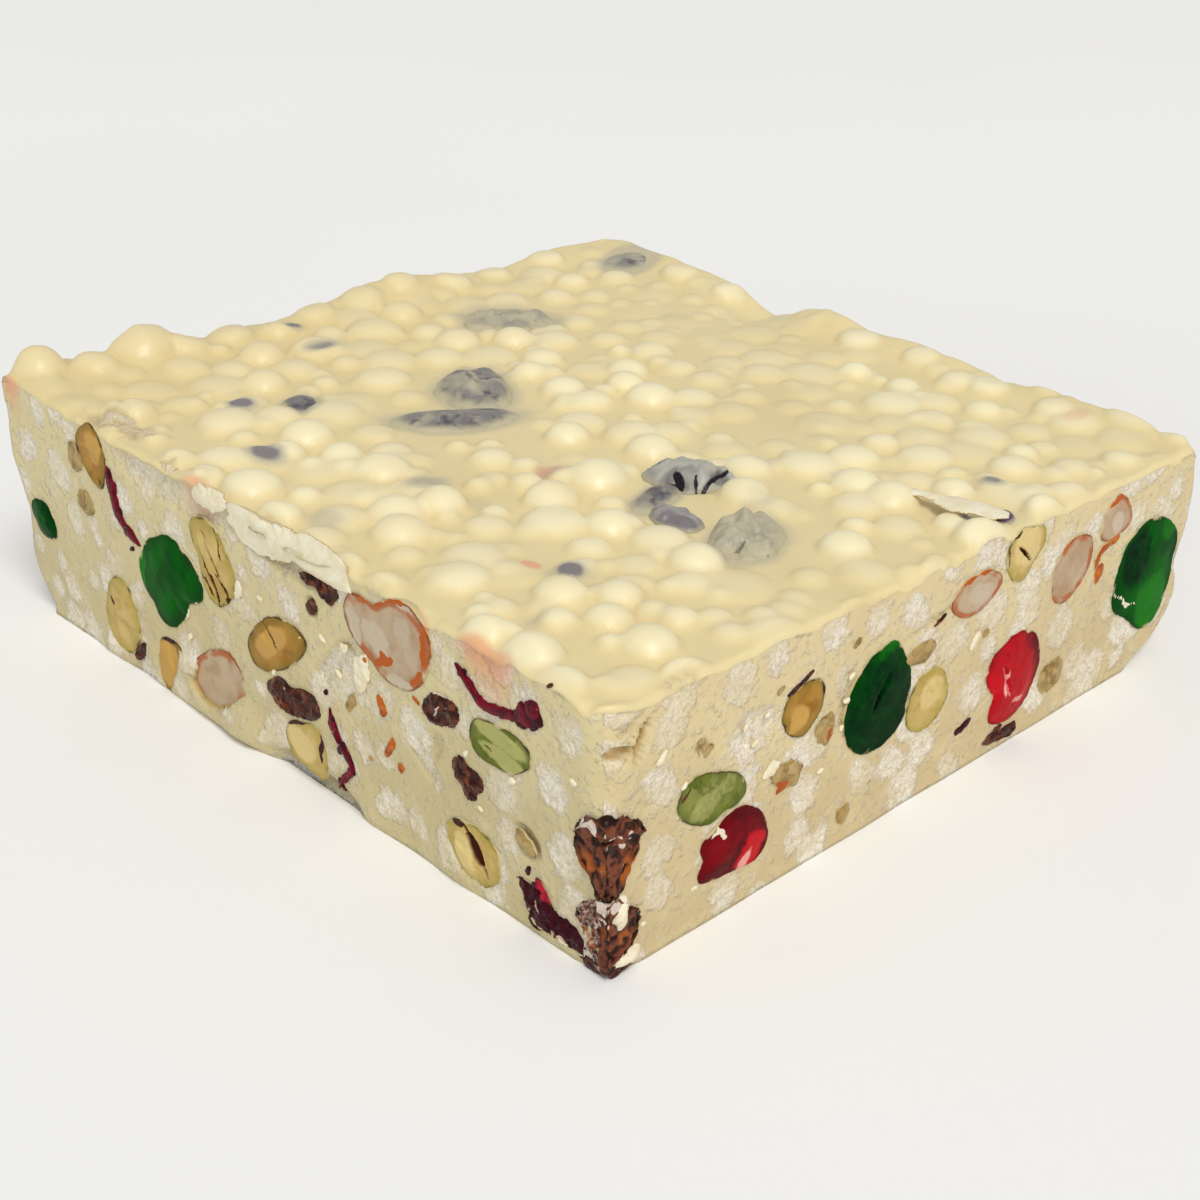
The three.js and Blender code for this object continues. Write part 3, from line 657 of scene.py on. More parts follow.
@dataclass(frozen=True)
class Morsel:
    """A piece that the knife has cut through: a flat, slightly proud front and a rounded body behind."""

    node: str
    side: Side
    along: float
    up: float
    radii: tuple[float, ...]
    slits: tuple[Streak, ...] = ()
    wisps: tuple[Mark, ...] = ()
    skins: tuple[Mark, ...] = ()
    tones: tuple[Mark, ...] = ()
    slot: str = ""
    crown: float = 0.15
    ragged: float = 0.02
    grain: float = 0.08
    grain_size: float = 1.6
    depth_share: float = 0.7
    stray: float = 0.6
    proud: float = 0.06
    lip: float = 0.15
    around: int = 120
    rings: int = 28
    behind: int = 7

    @property
    def seed(self) -> float:
        """A number that sets this morsel's unevenness apart from the others'."""
        return name_seed(self.node, 97)

    @property
    def facing(self) -> Facing:
        """The directions of the face that the morsel shows in."""
        return WALLS[self.side].facing

    @property
    def middle(self) -> Array:
        """The place of the outline's middle on the face."""
        return WALLS[self.side].place(self.along, self.up)

    def outline(self, angles: Array) -> Array:
        """Works out the outline: the closed curve, roughened a little along its length.

        Args:
            angles: angles round the middle.

        Returns:
            The radius at each angle.
        """
        ring = np.stack([np.cos(angles), np.sin(angles), np.zeros_like(angles)], -1)
        rough = rough_noise(ring * 3.0, 0.9, self.seed) + 0.6 * rough_noise(ring * 3.0, 0.3, self.seed + 9)
        return closed_curve(self.radii, angles) * (1.0 + self.ragged * rough)

    def inside(self, along: Array, up: Array) -> Array:
        """How far inside the outline places on the face are, negative outside it."""
        a, b = self.local(along, up)
        return closed_curve(self.radii, np.arctan2(b, a) % (2 * math.pi)) - np.hypot(a, b)

    def local(self, along: Array, up: Array) -> tuple[Array, Array]:
        """Turns distances on the face into steps to the right and up from the morsel's middle."""
        sense = WALLS[self.side].sense
        return (along - self.along) * sense, up - self.up

    def relief(self, points: Array, rho: Array) -> Array:
        """How far the front stands out: a low crown and a fine grain."""
        return self.crown * (1 - rho**2) + self.grain * rough_noise(points, self.grain_size, self.seed)

    def marks(self, along: Array, up: Array, marks: Sequence[Mark], stray: float = 1.0) -> Array:
        """Lays streaks or patches on the morsel, their edges shifted by noise.

        Args:
            along: distances along the side.
            up: heights.
            marks: the streaks or patches.
            stray: how much of the morsel's own stray their edges have.

        Returns:
            The strongest mark at each place, from 0 to 1.
        """
        face = np.stack([along, up, np.zeros_like(up)], -1)
        along = along + stray * self.stray * rough_noise(face, 2.0, self.seed + 3, 4)
        up = up + stray * self.stray * rough_noise(face, 2.0, self.seed + 31, 4)
        return strongest(np.zeros_like(up), (mark.nearness(along, up) for mark in marks))

    def shell(self) -> Shell:
        """Makes the closed body.

        Rings run from the middle out to the outline on the front, then turn in behind it as a quarter of
        an ellipse does, to a pole at the back.

        Returns:
            The body, with its rim share, slits, wisps, skin and tone at each point.
        """
        angles = np.arange(self.around) * 2 * math.pi / self.around
        radius = self.outline(angles)
        front = (np.arange(1, self.rings + 1) / self.rings)[:, None]
        turn = (np.arange(self.behind + 1) / (self.behind + 1) * math.pi / 2)[:, None]
        depth = self.depth_share * float(np.min(radius))
        rho = np.concatenate([np.zeros((1, self.around)), front * np.ones(self.around)])
        a, b = rho * radius * np.cos(angles), rho * radius * np.sin(angles)
        sense = WALLS[self.side].sense if self.side in WALLS else 1
        along, up = self.along + sense * a, self.up + b
        flat = self.middle + self.facing.shift(a, b, np.zeros_like(a))
        cut = strongest(np.zeros_like(a), (slit.depth * slit.nearness(along, up) for slit in self.slits))
        out = self.proud + (self.relief(flat, rho) - cut) * (1 - rho**8)
        values = {
            "rim": rho, "slit": self.marks(along, up, self.slits, 0.35), "wisp": self.marks(along, up, self.wisps),
            "skin": self.marks(along, up, self.skins), "tone": self.marks(along, up, self.tones)}
        back_a = np.cos(turn) * radius * np.cos(angles)
        back_b = np.cos(turn) * radius * np.sin(angles)
        back_out = -self.lip - depth * np.sin(turn) * np.ones_like(back_a)
        a, b = np.concatenate([a, back_a]), np.concatenate([b, back_b])
        out = np.concatenate([out, back_out])
        pole = np.array([[0.0]])
        grid = self.middle + self.facing.shift(a[1:], b[1:], out[1:])
        ends = self.middle + self.facing.shift(pole, pole, np.array([[out[0, 0]]]))
        rear = self.middle + self.facing.shift(pole, pole, np.array([[-self.lip - depth]]))
        points = np.concatenate([ends.reshape(1, 3), grid.reshape(-1, 3), rear.reshape(1, 3)])
        full = {}
        for key, front_values in values.items():
            tail = np.repeat(front_values[-1:], self.behind + 1, axis=0)
            if key == "rim":
                tail = tail + 0.2
            body = np.concatenate([front_values[1:], tail])
            full[key] = np.concatenate([front_values[:1, 0], body.ravel(), tail[-1, :1]])
        return Shell(points, body_faces(len(grid), self.around), full)


@dataclass(frozen=True)
class Cherry(Morsel):
    """A glazed cherry: a glossy face with soft waves where the knife dragged the jelly."""

    crown: float = 0.45
    ragged: float = 0.022
    grain: float = 0.2
    grain_size: float = 4.0
    lumps: float = 0.03
    stray: float = 1.1

    def relief(self, points: Array, rho: Array) -> Array:
        """The crown, slow waves, and shallow dents."""
        return super().relief(points, rho) - self.lumps * creases(points, 4.5, self.seed + 4)


@dataclass(frozen=True)
class Pistachio(Morsel):
    """A pistachio in its papery skin: a smooth meat with steps where it broke under the knife."""

    slot: str = "pale_nut"
    crown: float = 0.16
    ragged: float = 0.036
    grain: float = 0.1
    grain_size: float = 1.8
    step: float = 0.3

    def relief(self, points: Array, rho: Array) -> Array:
        """The crown, the grain and one broken step, with the skin's rim standing a hair proud."""
        broken = ease(-0.1, 0.1, rough_noise(points, 4.5, self.seed + 8, 3)) - 0.5
        return super().relief(points, rho) + self.step * broken * (1 - rho**4) + 0.07 * hump(rho, 0.95, 0.05)


@dataclass(frozen=True)
class Peanut(Morsel):
    """A peanut cut across: a waxy meat, slightly hollow in the middle, inside a thin red skin."""

    slot: str = "peanut"
    crown: float = 0.12
    ragged: float = 0.03
    grain: float = 0.08
    grain_size: float = 2.4
    dish: float = 0.14

    def relief(self, points: Array, rho: Array) -> Array:
        """The crown less a shallow dish, with the skin's edge standing proud of a groove inside it.

        Args:
            points: places on the flat cut.
            rho: shares of the way from the middle to the outline.

        Returns:
            How far the front stands out at each.
        """
        skin = 0.08 * hump(rho, 0.95, 0.05) - 0.08 * hump(rho, 0.86, 0.04)
        grain = self.grain * rough_noise(points, self.grain_size, self.seed)
        return self.crown * (1 - rho**2) - self.dish * hump(rho, 0.0, 0.5) + grain + skin


@dataclass(frozen=True)
class Raisin(Morsel):
    """A torn raisin: deep wrinkles and a ragged edge."""

    slot: str = "raisin"
    crown: float = 0.35
    ragged: float = 0.13
    grain: float = 0.3
    grain_size: float = 1.1
    wrinkle: float = 0.42
    rings: int = 32

    def relief(self, points: Array, rho: Array) -> Array:
        """The crown, coarse grain and ridged wrinkles.

        Args:
            points: places on the flat cut.
            rho: shares of the way from the middle to the outline.

        Returns:
            How far the front stands out at each.
        """
        ridges = self.wrinkle * (creases(points, 1.9, self.seed) - 0.4)
        grain = self.grain * rough_noise(points, self.grain_size, self.seed + 2)
        return self.crown * (1 - rho**2) + grain + ridges


@dataclass(frozen=True)
class Chip(Morsel):
    """A small broken bit of a nut, skin or chocolate, flat and angular."""

    slot: str = "nut_chip"
    crown: float = 0.16
    ragged: float = 0.12
    grain: float = 0.16
    grain_size: float = 0.8
    around: int = 56
    rings: int = 10
    behind: int = 3
    depth_share: float = 0.45


@dataclass(frozen=True)
class Flake(Chip):
    """A thin flake of chocolate on the top, where up is its place along Y and level its height."""

    level: float = 34.0
    slope: tuple[float, float] = (0.0, 0.0)
    crown: float = 0.2
    ragged: float = 0.16
    grain: float = 0.22
    grain_size: float = 2.2
    around: int = 120
    rings: int = 16
    depth_share: float = 0.4

    @property
    def facing(self) -> Facing:
        """A flake faces up."""
        return UPWARD

    @property
    def middle(self) -> Array:
        """The flake's middle."""
        return np.array([self.along, self.up, self.level])

    def relief(self, points: Array, rho: Array) -> Array:
        """The crown and grain, on a slope that lifts one side."""
        rise = (points[..., 0] - self.along) * self.slope[0] + (points[..., 1] - self.up) * self.slope[1]
        return super().relief(points, rho) + rise


@dataclass(frozen=True)
class Ribbon:
    """A shred of dried cranberry, seen edge on: a flat strip along a winding line on the face."""

    node: str
    side: Side
    path: tuple[tuple[float, float, float], ...]
    thick: float = 0.32
    behind: float = 2.2
    steps: int = 150
    around: int = 20

    def shell(self) -> Shell:
        """Makes the strip.

        A curve runs through the path's places with the half width given at each. Round it goes a
        flattened oval, creased along its length, closed at both ends.

        Returns:
            The body, with a number for where its creases and torn edges are.
        """
        seed = name_seed(self.node, 89)
        knots = np.array(self.path, float)
        knots = np.concatenate([2 * knots[:1] - knots[1:2], knots, 2 * knots[-1:] - knots[-2:-1]])
        place = np.linspace(0, len(self.path) - 1, self.steps)
        low = np.minimum(place.astype(int), len(self.path) - 2)
        f = (place - low)[:, None]
        line = through([knots[low + k] for k in range(4)], f)
        wall = WALLS[self.side]
        steer = np.gradient(line[:, :2], axis=0) * np.array([wall.sense, 1.0])
        steer /= np.linalg.norm(steer, axis=1, keepdims=True)
        share = place / place[-1]
        taper = np.sqrt(np.clip(1 - (2 * share - 1) ** 8, 0.02, 1.0))
        flat = np.stack([line[:, 0], line[:, 1], np.full(self.steps, 3.3)], -1)
        half = line[:, 2] * taper * (1 + 0.55 * rough_noise(flat, 1.5, seed) + 0.3 * rough_noise(flat, 0.5, seed))
        turn = -np.arange(self.around) * 2 * math.pi / self.around
        crease = rough_noise(flat[:, None, :] + np.sin(turn)[None, :, None] * 1.4, 0.8, seed + 3)
        wide = half[:, None] * np.cos(turn) * (1 + 0.3 * crease)
        height = self.thick * taper[:, None] * np.sin(turn) * (1 + 0.35 * crease)
        middle = np.array([wall.place(u, z) for u, z in line[:, :2]])
        across = np.stack([-steer[:, 1], steer[:, 0]], -1)
        out = np.where(height > 0, height, self.behind * height) + 0.02
        points = middle[:, None, :] + wall.facing.shift(wide * across[:, :1], wide * across[:, 1:], out)
        grid = np.concatenate([middle[:1], points.reshape(-1, 3), middle[-1:]])
        # ridge follows the creases, which the finish paints lighter on their ridges, a painted highlight.
        ridge = np.concatenate([[0.5], (0.5 + 0.5 * crease).ravel(), [0.5]])
        edge = np.concatenate([[1.0], np.abs(np.cos(turn) * np.ones((self.steps, 1))).ravel(), [1.0]])
        zero = np.zeros(len(grid))
        values = {"rim": edge, "slit": zero, "wisp": zero, "skin": zero, "tone": ridge}
        return Shell(grid, body_faces(self.steps, self.around), values)


@dataclass(frozen=True)
class CornerRaisin:
    """A raisin cut through by both cuts at the front corner: a lumpy ball pressed back to both faces."""

    node: str
    up: float
    reach: float
    tall: float
    foot_share: float
    cleft: float = 0.0
    pale: float = 0.0
    wrinkle: float = 0.6
    inset: float = 0.6
    around: int = 128
    rows: int = 84

    def shell(self) -> Shell:
        """Makes the ball.

        Its radius is narrowed towards its foot and roughened by wrinkles, and what would pass either cut
        face is carried back to it, where only the wrinkles stand proud.

        Returns:
            The body, with its wrinkles as tone.
        """
        seed = name_seed(self.node, 83)
        theta = np.arange(self.around) * 2 * math.pi / self.around
        phi = ((np.arange(1, self.rows) / self.rows) * math.pi)[:, None]
        way = np.stack([
            np.sin(phi) * np.cos(theta), np.sin(phi) * np.sin(theta), np.cos(phi) * np.ones_like(theta)], -1)
        ends = np.array([[0.0, 0.0, 1.0], [0.0, 0.0, -1.0]])
        way = np.concatenate([ends[:1], way.reshape(-1, 3), ends[1:]])
        rough = rough_noise(way * 4.0, 2.1, seed, 5)
        ridge = creases(way * 5.0, 1.9, seed + 5)
        narrow = 1.0 + (self.foot_share - 1.0) * ease(0.4, -0.9, way[:, 2])
        cleft = self.cleft * ease(0.9, 0.985, -(way[:, 0] + way[:, 1]) / math.sqrt(2.0))
        blunt = np.clip(np.hypot(way[:, 0], way[:, 1]), 0.02, 1.0) ** -0.32
        spread = self.reach * narrow * blunt * (1 + 0.42 * rough) * (1 - cleft)
        points = np.stack([
            self.inset + way[:, 0] * spread, self.inset + way[:, 1] * spread,
            self.up + way[:, 2] * self.tall * (1 + 0.46 * rough_noise(way * 4.0, 1.3, seed + 11, 4))], -1)
        proud = 0.1 + self.wrinkle * (0.6 * ridge + 0.6 * rough)
        for axis in (0, 1):
            points[:, axis] = np.maximum(points[:, axis], -np.clip(proud, 0.03, 0.6))
        core = hump(points[:, 2], self.up - 0.25 * self.tall, 2.8)
        core = core * ease(-0.1, 0.35, rough_noise(way * 5.0, 2.4, seed + 3, 2))
        dusted = ease(0.5, 0.66, 0.45 * way[:, 2] + 0.9 * rough_noise(way * 5.0, 1.1, seed + 7, 2))
        dusted = np.maximum(dusted, self.pale * ease(0.5, 1.6, points[:, 1] - points[:, 0]))
        zero = np.zeros(len(points))
        # tone follows the wrinkles' ridges, which the finish paints lighter and their folds darker, a painted
        # highlight and a painted shade.
        values = {"rim": zero + 0.5, "slit": zero, "wisp": dusted, "skin": core, "tone": ridge}
        return Shell(points, body_faces(self.rows - 1, self.around), values)


@dataclass(frozen=True)
class TopRaisin:
    """A raisin just under the top's skin: a low wrinkled mound with an oval outline."""

    node: str
    x: float
    y: float
    length: float
    width: float
    tilt: float
    rise: float
    shade: float
    veiled: bool = True
    bend: float = 0.0
    bend_middle: float = 0.35
    wrinkle: float = 0.25
    fold_size: float = 5.0
    fold_depth: float = 0.4
    folds: tuple[Streak, ...] = ()
    uneven: float = 0.14
    corners: float = 2.0
    around: int = 120
    rings: int = 34
    behind: int = 6

    @property
    def clear(self) -> float:
        """The radius round its middle where no puff rises."""
        return self.length / 2 + 0.8

    def local(self, x: Array, y: Array) -> tuple[Array, Array]:
        """Turns places on the top into the raisin's own steps, with its bend taken out.

        Args:
            x: places along X.
            y: places along Y.

        Returns:
            Steps along and across it from its middle, as shares of its half sizes.
        """
        turn = math.radians(self.tilt)
        a = (x - self.x) * math.cos(turn) + (y - self.y) * math.sin(turn)
        b = (y - self.y) * math.cos(turn) - (x - self.x) * math.sin(turn)
        b = b - self.bend * ((a / (self.length / 2)) ** 2 - self.bend_middle)
        return a / (self.length / 2), b / (self.width / 2)

    def shell(self, form: SlabForm) -> Shell:
        """Makes the mound.

        Args:
            form: gives the chocolate's level round it.

        Returns:
            The body: a cap over the level with wrinkles in it and a flat-bottomed underside.
        """
        seed = name_seed(self.node, 79)
        angles = np.arange(self.around) * 2 * math.pi / self.around
        ring = np.stack([np.cos(angles), np.sin(angles), np.zeros_like(angles)], -1)
        uneven = 1 + self.uneven * rough_noise(ring * 2.0, 1.3, seed)
        power = np.abs(np.cos(angles)) ** self.corners + np.abs(np.sin(angles)) ** self.corners
        uneven = uneven * power ** (-1 / self.corners)
        front = (np.arange(0, self.rings + 1) / self.rings)[:, None]
        under = np.cos((np.arange(self.behind + 1) / (self.behind + 1) * math.pi / 2))[:, None]
        rho = np.concatenate([front, under]) * np.ones(self.around)
        a = rho * uneven * np.cos(angles) * self.length / 2
        b = rho * uneven * np.sin(angles) * self.width / 2
        b = b + self.bend * ((a / (self.length / 2)) ** 2 - self.bend_middle)
        turn = math.radians(self.tilt)
        x = self.x + a * math.cos(turn) - b * math.sin(turn)
        y = self.y + a * math.sin(turn) + b * math.cos(turn)
        level = form.level(x, y)
        flat = np.stack([x, y, np.zeros_like(x)], -1)
        if self.veiled:
            ridge = 0.5 + rough_noise(flat, 4.0, seed, 2)
        else:
            ridge = 0.4 + 0.6 * creases(flat, self.fold_size, seed)
        grain = rough_noise(flat, 2.2, seed + 6)
        dome = np.clip(1 - rho**2, 0, 1) ** (0.85 if self.veiled else 0.6)
        z = level - 0.3 + (self.rise + 0.3) * dome + self.wrinkle * (ridge - 0.45 + 0.5 * grain) * dome**0.5
        strayed = x + 0.3 * grain, y + 0.3 * ridge
        crease = strongest(np.zeros_like(x), (fold.nearness(*strayed) for fold in self.folds))
        z = z - self.fold_depth * crease
        deep = np.sin(np.arange(self.behind + 1) / (self.behind + 1) * math.pi / 2)[:, None]
        z[self.rings + 1:] = level[self.rings + 1:] - 0.7 - 0.35 * self.width * deep
        points = np.stack([x, y, z], -1)
        ridge[self.rings + 1:] = 0.5
        pole = np.array([[self.x, self.y, float(np.min(z)) - 0.05]])
        grid = np.concatenate([points[0, :1], points[1:].reshape(-1, 3), pole])
        tone = np.concatenate([[ridge[0, 0]], ridge[1:].ravel(), [0.5]])
        sunk = 1 - ease(0.0, 0.62 * self.rise + 0.25, z - level)
        edge = np.concatenate([[0.0], np.maximum(sunk[1:], ease(0.8, 1.0, rho[1:])).ravel(), [1.0]])
        zero = np.zeros(len(grid))
        crease = np.concatenate([[crease[0, 0]], crease[1:].ravel(), [0.0]])
        # tone is the wrinkles' height and slit the folds pressed in: the finishes paint the folds and dips darker, a
        # painted shade, and the bare raisin's ridges lighter, a painted highlight.
        values = {"rim": edge, "slit": crease, "wisp": zero, "skin": zero + self.shade, "tone": tone}
        return Shell(grid, body_faces(len(points) - 1, self.around), values)


# ---- The chocolate ----------------------------------------------------------------------------------


@dataclass(frozen=True)
class Hollow:
    """A broken place on a side: an oval dent, or a swelling where its depth is below nothing."""

    side: Side
    at: tuple[float, float]
    reach: tuple[float, float]
    depth: float
    tilt: float = 0.0
    torn: float = 0.0
    # How much tan painted shade fills the dent.
    amber: float = 0.0

    def nearness(self, along: Array, up: Array) -> Array:
        """1 in the middle of the oval, easing to 0 just past its edge."""
        return Patch(self.at, self.reach, self.tilt).nearness(along, up)


@dataclass(frozen=True)
class Film:
    """A place on the top where fruit shows through the skin or has stained it."""

    x: float
    y: float
    reach_x: float
    reach_y: float
    strength: float
    tilt: float = 0.0

    def nearness(self, x: Array, y: Array) -> Array:
        """The strength in the middle of the oval, easing to 0 outside it."""
        share = oval_share(x, y, (self.x, self.y), (self.reach_x, self.reach_y), self.tilt)
        return self.strength * (1.0 - ease(0.35, 1.3, share))


@dataclass
class ChocolateSlab:
    """The white chocolate itself: a bumpy top, four sides with cut puffs in them and a flat foot."""

    form: SlabForm
    morsels: Sequence[Morsel]
    top_raisins: Sequence[TopRaisin]
    hollows: Sequence[Hollow]
    veils: Sequence[Film]
    stains: Sequence[Film]
    tears: Sequence[Film]
    cut_puffs: dict[Side, Sequence[tuple[float, float, float]]]
    across: int = 204
    deep: int = 228
    levels: int = 56
    edge_radius: float = 1.6
    left_radius: float = 0.45
    right_radius: float = 0.6
    nibble: float = 0.7
    pocket: float = 1.1
    puff_step: float = 6.4
    steepest: float = 0.68
    # The mean distance between the top grid's own points.
    grid_step: float = 0.57
    # The rounded corners past the two cuts' ends, seen from above: x, y, radius.
    right_disc: tuple[float, float, float] = (109.0, 6.4, 8.0)
    back_disc: tuple[float, float, float] = (110.0, 121.09, 7.0)
    right_tip: tuple[float, float] = (115.93, RIGHT_STEP)
    foot_middle: tuple[float, float, float] = (58.0, 64.0, 0.0)
    # Domes: how much wider and taller than their puffs, how blunt, and the power that joins them.
    dome_wide: float = 1.06
    dome_tall: float = 1.08
    dome_blunt: float = 0.55
    dome_power: int = 8
    small_step: float = 4.0
    small_share: float = 0.3
    veil_rise: float = 1.3
    bold_veil: float = 0.8
    shore_veil: float = 0.62
    # A cut puff's share where there is none.
    no_puff: float = -3.0

    def arc(self, disc: tuple[float, float, float], start: float, end: float, count: int) -> Array:
        """Spreads points round an arc.

        Args:
            disc: x and y of its middle, and its radius.
            start: its first angle in degrees.
            end: its last angle.
            count: how many points are wanted.

        Returns:
            x and y of each.
        """
        x, y, radius = disc
        angles = np.radians(np.linspace(start, end, count))
        return np.stack([x + radius * np.cos(angles), y + radius * np.sin(angles)], -1)

    def evened(self, line: Array, count: int) -> Array:
        """Spreads points evenly by length along a line.

        Args:
            line: the line's own points.
            count: how many points are wanted.

        Returns:
            x and y of each.
        """
        steps = np.concatenate([[0.0], np.cumsum(np.hypot(*np.diff(line, axis=0).T))])
        want = np.linspace(0.0, steps[-1], count)
        return np.stack([np.interp(want, steps, line[:, k]) for k in (0, 1)], -1)

    def plan(self) -> Array:
        """The top's grid seen from above: a Coons patch between the four sides' lines.

        Returns:
            x and y at each of the grid's places, rows along the right-hand cut.
        """
        front, right, left = np.zeros(2), np.array(self.right_tip), np.array([LEFT_STEP, LENGTH_Y])
        right_round = self.arc(self.right_disc, -30.0, 0.0, 16)
        back_round = self.arc(self.back_disc, 0.0, 90.0, 33)
        near = self.evened(np.stack([front, right]), self.across + 1)
        near_left = self.evened(np.stack([front, left]), self.deep + 1)
        far = self.evened(np.concatenate([right_round, back_round[:17]]), self.deep + 1)
        back = self.evened(np.concatenate([left[None], back_round[:15:-1]]), self.across + 1)
        s = np.linspace(0, 1, self.across + 1)[:, None, None]
        t = np.linspace(0, 1, self.deep + 1)[None, :, None]
        ruled = near[:, None] * (1 - t) + back[:, None] * t + near_left[None] * (1 - s) + far[None] * s
        corners = (front * (1 - s) + right * s) * (1 - t) + (left * (1 - s) + far[-1] * s) * t
        return ruled - corners

    def large_puffs(self, clear: Array) -> Puffs:
        """The puffs of the slab's own form, the even ones among them made less even.

        Args:
            clear: rows of x, y and radius where no puff rises.

        Returns:
            The puffs, as wide and tall as their domes are.
        """
        puffs = self.form.puffs(clear)
        proud = np.arange(len(puffs.x)) >= len(puffs.x) - len(self.form.proud)
        wide = np.where(proud, 1.0, 0.86 + 0.46 * chance(puffs.x, puffs.y, 31)) * puffs.radius
        tall = np.where(proud, 1.0, 0.6 + 0.7 * chance(puffs.x, puffs.y, 32)) * puffs.height
        tall = np.where(proud, tall, np.minimum(tall, self.steepest * wide))
        return Puffs(puffs.x, puffs.y, wide, self.dome_tall * tall)

    def small_puffs(self, clear: Array) -> Puffs:
        """The low bumps between the large ones: one at a few of a loose lattice's places.

        Args:
            clear: rows of x, y and radius where no large puff rises.

        Returns:
            The bumps.
        """
        i, j = np.meshgrid(np.arange(0, 30), np.arange(0, 33))
        x = 1.5 + self.small_step * (i + chance(i, j, 21))
        y = 1.5 + self.small_step * (j + chance(i, j, 22))
        wide = 1.5 + 1.0 * chance(i, j, 24)
        tall = np.minimum(0.5 + chance(i, j, 23) * self.form.crowding(x, y), self.steepest * wide)
        away = np.hypot(x[..., None] - clear[:, 0], y[..., None] - clear[:, 1])
        keep = (chance(i, j, 25) < self.small_share) & (away > 0.8 * clear[:, 2]).all(-1)
        return Puffs(x[keep], y[keep], wide[keep], tall[keep])

    def pile(self, total: Array, x: Array, y: Array, puffs: Puffs, swell: float, blunt: float) -> None:
        """Adds domes to a sum of powers, whose root joins them smoothly where they crowd together.

        A dome's height at a share s of the way out is its full height times one less s squared, to a power.

        Args:
            total: the sum at each place, which is added to.
            x: places along X.
            y: places along Y.
            puffs: a dome stands over each.
            swell: how much wider than its puff a dome is.
            blunt: the power, small for a blunt dome.
        """
        for px, py, radius, height in zip(puffs.x, puffs.y, puffs.radius, puffs.height):
            near = (np.abs(x - px) < 1.2 * radius) & (np.abs(y - py) < 1.2 * radius)
            away = np.hypot(x[near] - px, y[near] - py) / (swell * radius)
            total[near] += (height * np.clip(1 - away**2, 0, 1) ** blunt) ** self.dome_power

    def domes(self, x: Array, y: Array) -> Array:
        """Works out how far the puffs raise the top, which is evened where a raisin shows through.

        Args:
            x: the grid's places along X.
            y: the grid's places along Y.

        Returns:
            The rise at each, lower near the sides.
        """
        clear = np.array([(r.x, r.y, r.clear) for r in self.top_raisins])
        total = np.zeros_like(x)
        self.pile(total, x, y, self.large_puffs(clear), self.dome_wide, self.dome_blunt)
        self.pile(total, x, y, self.small_puffs(clear), 1.0, 0.5)
        rise = total ** (1 / self.dome_power)
        for film in (f for f in self.veils if f.strength > self.bold_veil):
            near = film.nearness(x, y) / film.strength
            rise = rise * (1 - near) + self.veil_rise * near
        edge = np.minimum(np.arange(x.shape[0])[:, None], np.arange(x.shape[1])[None, :]) * self.grid_step
        return smoothed(rise) * (0.4 + 0.6 * ease(0.0, 3.2, edge))

    def edge_drop(self) -> Array:
        """Works out the top's rounded and nibbled edge: an arc down to each side, tighter at the cuts.

        Returns:
            How far the top falls at each of the grid's places.
        """
        i, j = np.meshgrid(np.arange(self.across + 1), np.arange(self.deep + 1), indexing="ij")
        drop = np.zeros(i.shape)
        for steps, radius in ((self.across - i, self.edge_radius), (self.deep - j, self.edge_radius),
                              (i, self.left_radius), (j, self.right_radius)):
            short = np.clip(radius - self.grid_step * steps, 0, radius)
            drop = np.maximum(drop, radius - np.sqrt(radius**2 - short**2))
        place = self.grid_step * np.stack([i, j, np.zeros_like(i)], -1)
        nibble = ease(0.05, 0.7, rough_noise(place, 3.0, 71.0))
        nibble = nibble * (1 - ease(0.3, 1.9, self.grid_step * np.minimum(i, j)))
        return drop + self.nibble * nibble

    def side_puffs(self, side: Side) -> Array:
        """The cut puffs of a side: the placed ones, and a shifted lattice of others between them.

        Args:
            side: the side.

        Returns:
            Rows of distance along, height and radius.
        """
        step = self.puff_step
        i, j = np.meshgrid(np.arange(-1, 24), np.arange(0, 8))
        seed = 40 + 7 * list(Side).index(side)
        along = step * (i + 0.5 * (j % 2) + 0.95 * (chance(i, j, seed) - 0.5))
        up = 0.85 * step * (j + 0.2 + 0.9 * (chance(i, j, seed + 1) - 0.5))
        radius = 1.0 + 2.5 * chance(i, j, seed + 2)
        keep = chance(i, j, seed + 3) > 0.2
        fill = np.stack([along[keep], up[keep], radius[keep]], -1)
        placed = np.array(self.cut_puffs.get(side, ()), float).reshape(-1, 3)
        if len(placed):
            away = np.hypot(fill[:, None, 0] - placed[:, 0], fill[:, None, 1] - placed[:, 1])
            fill = fill[(away > placed[:, 2] + 2.4).all(1)]
        return np.concatenate([placed, fill])

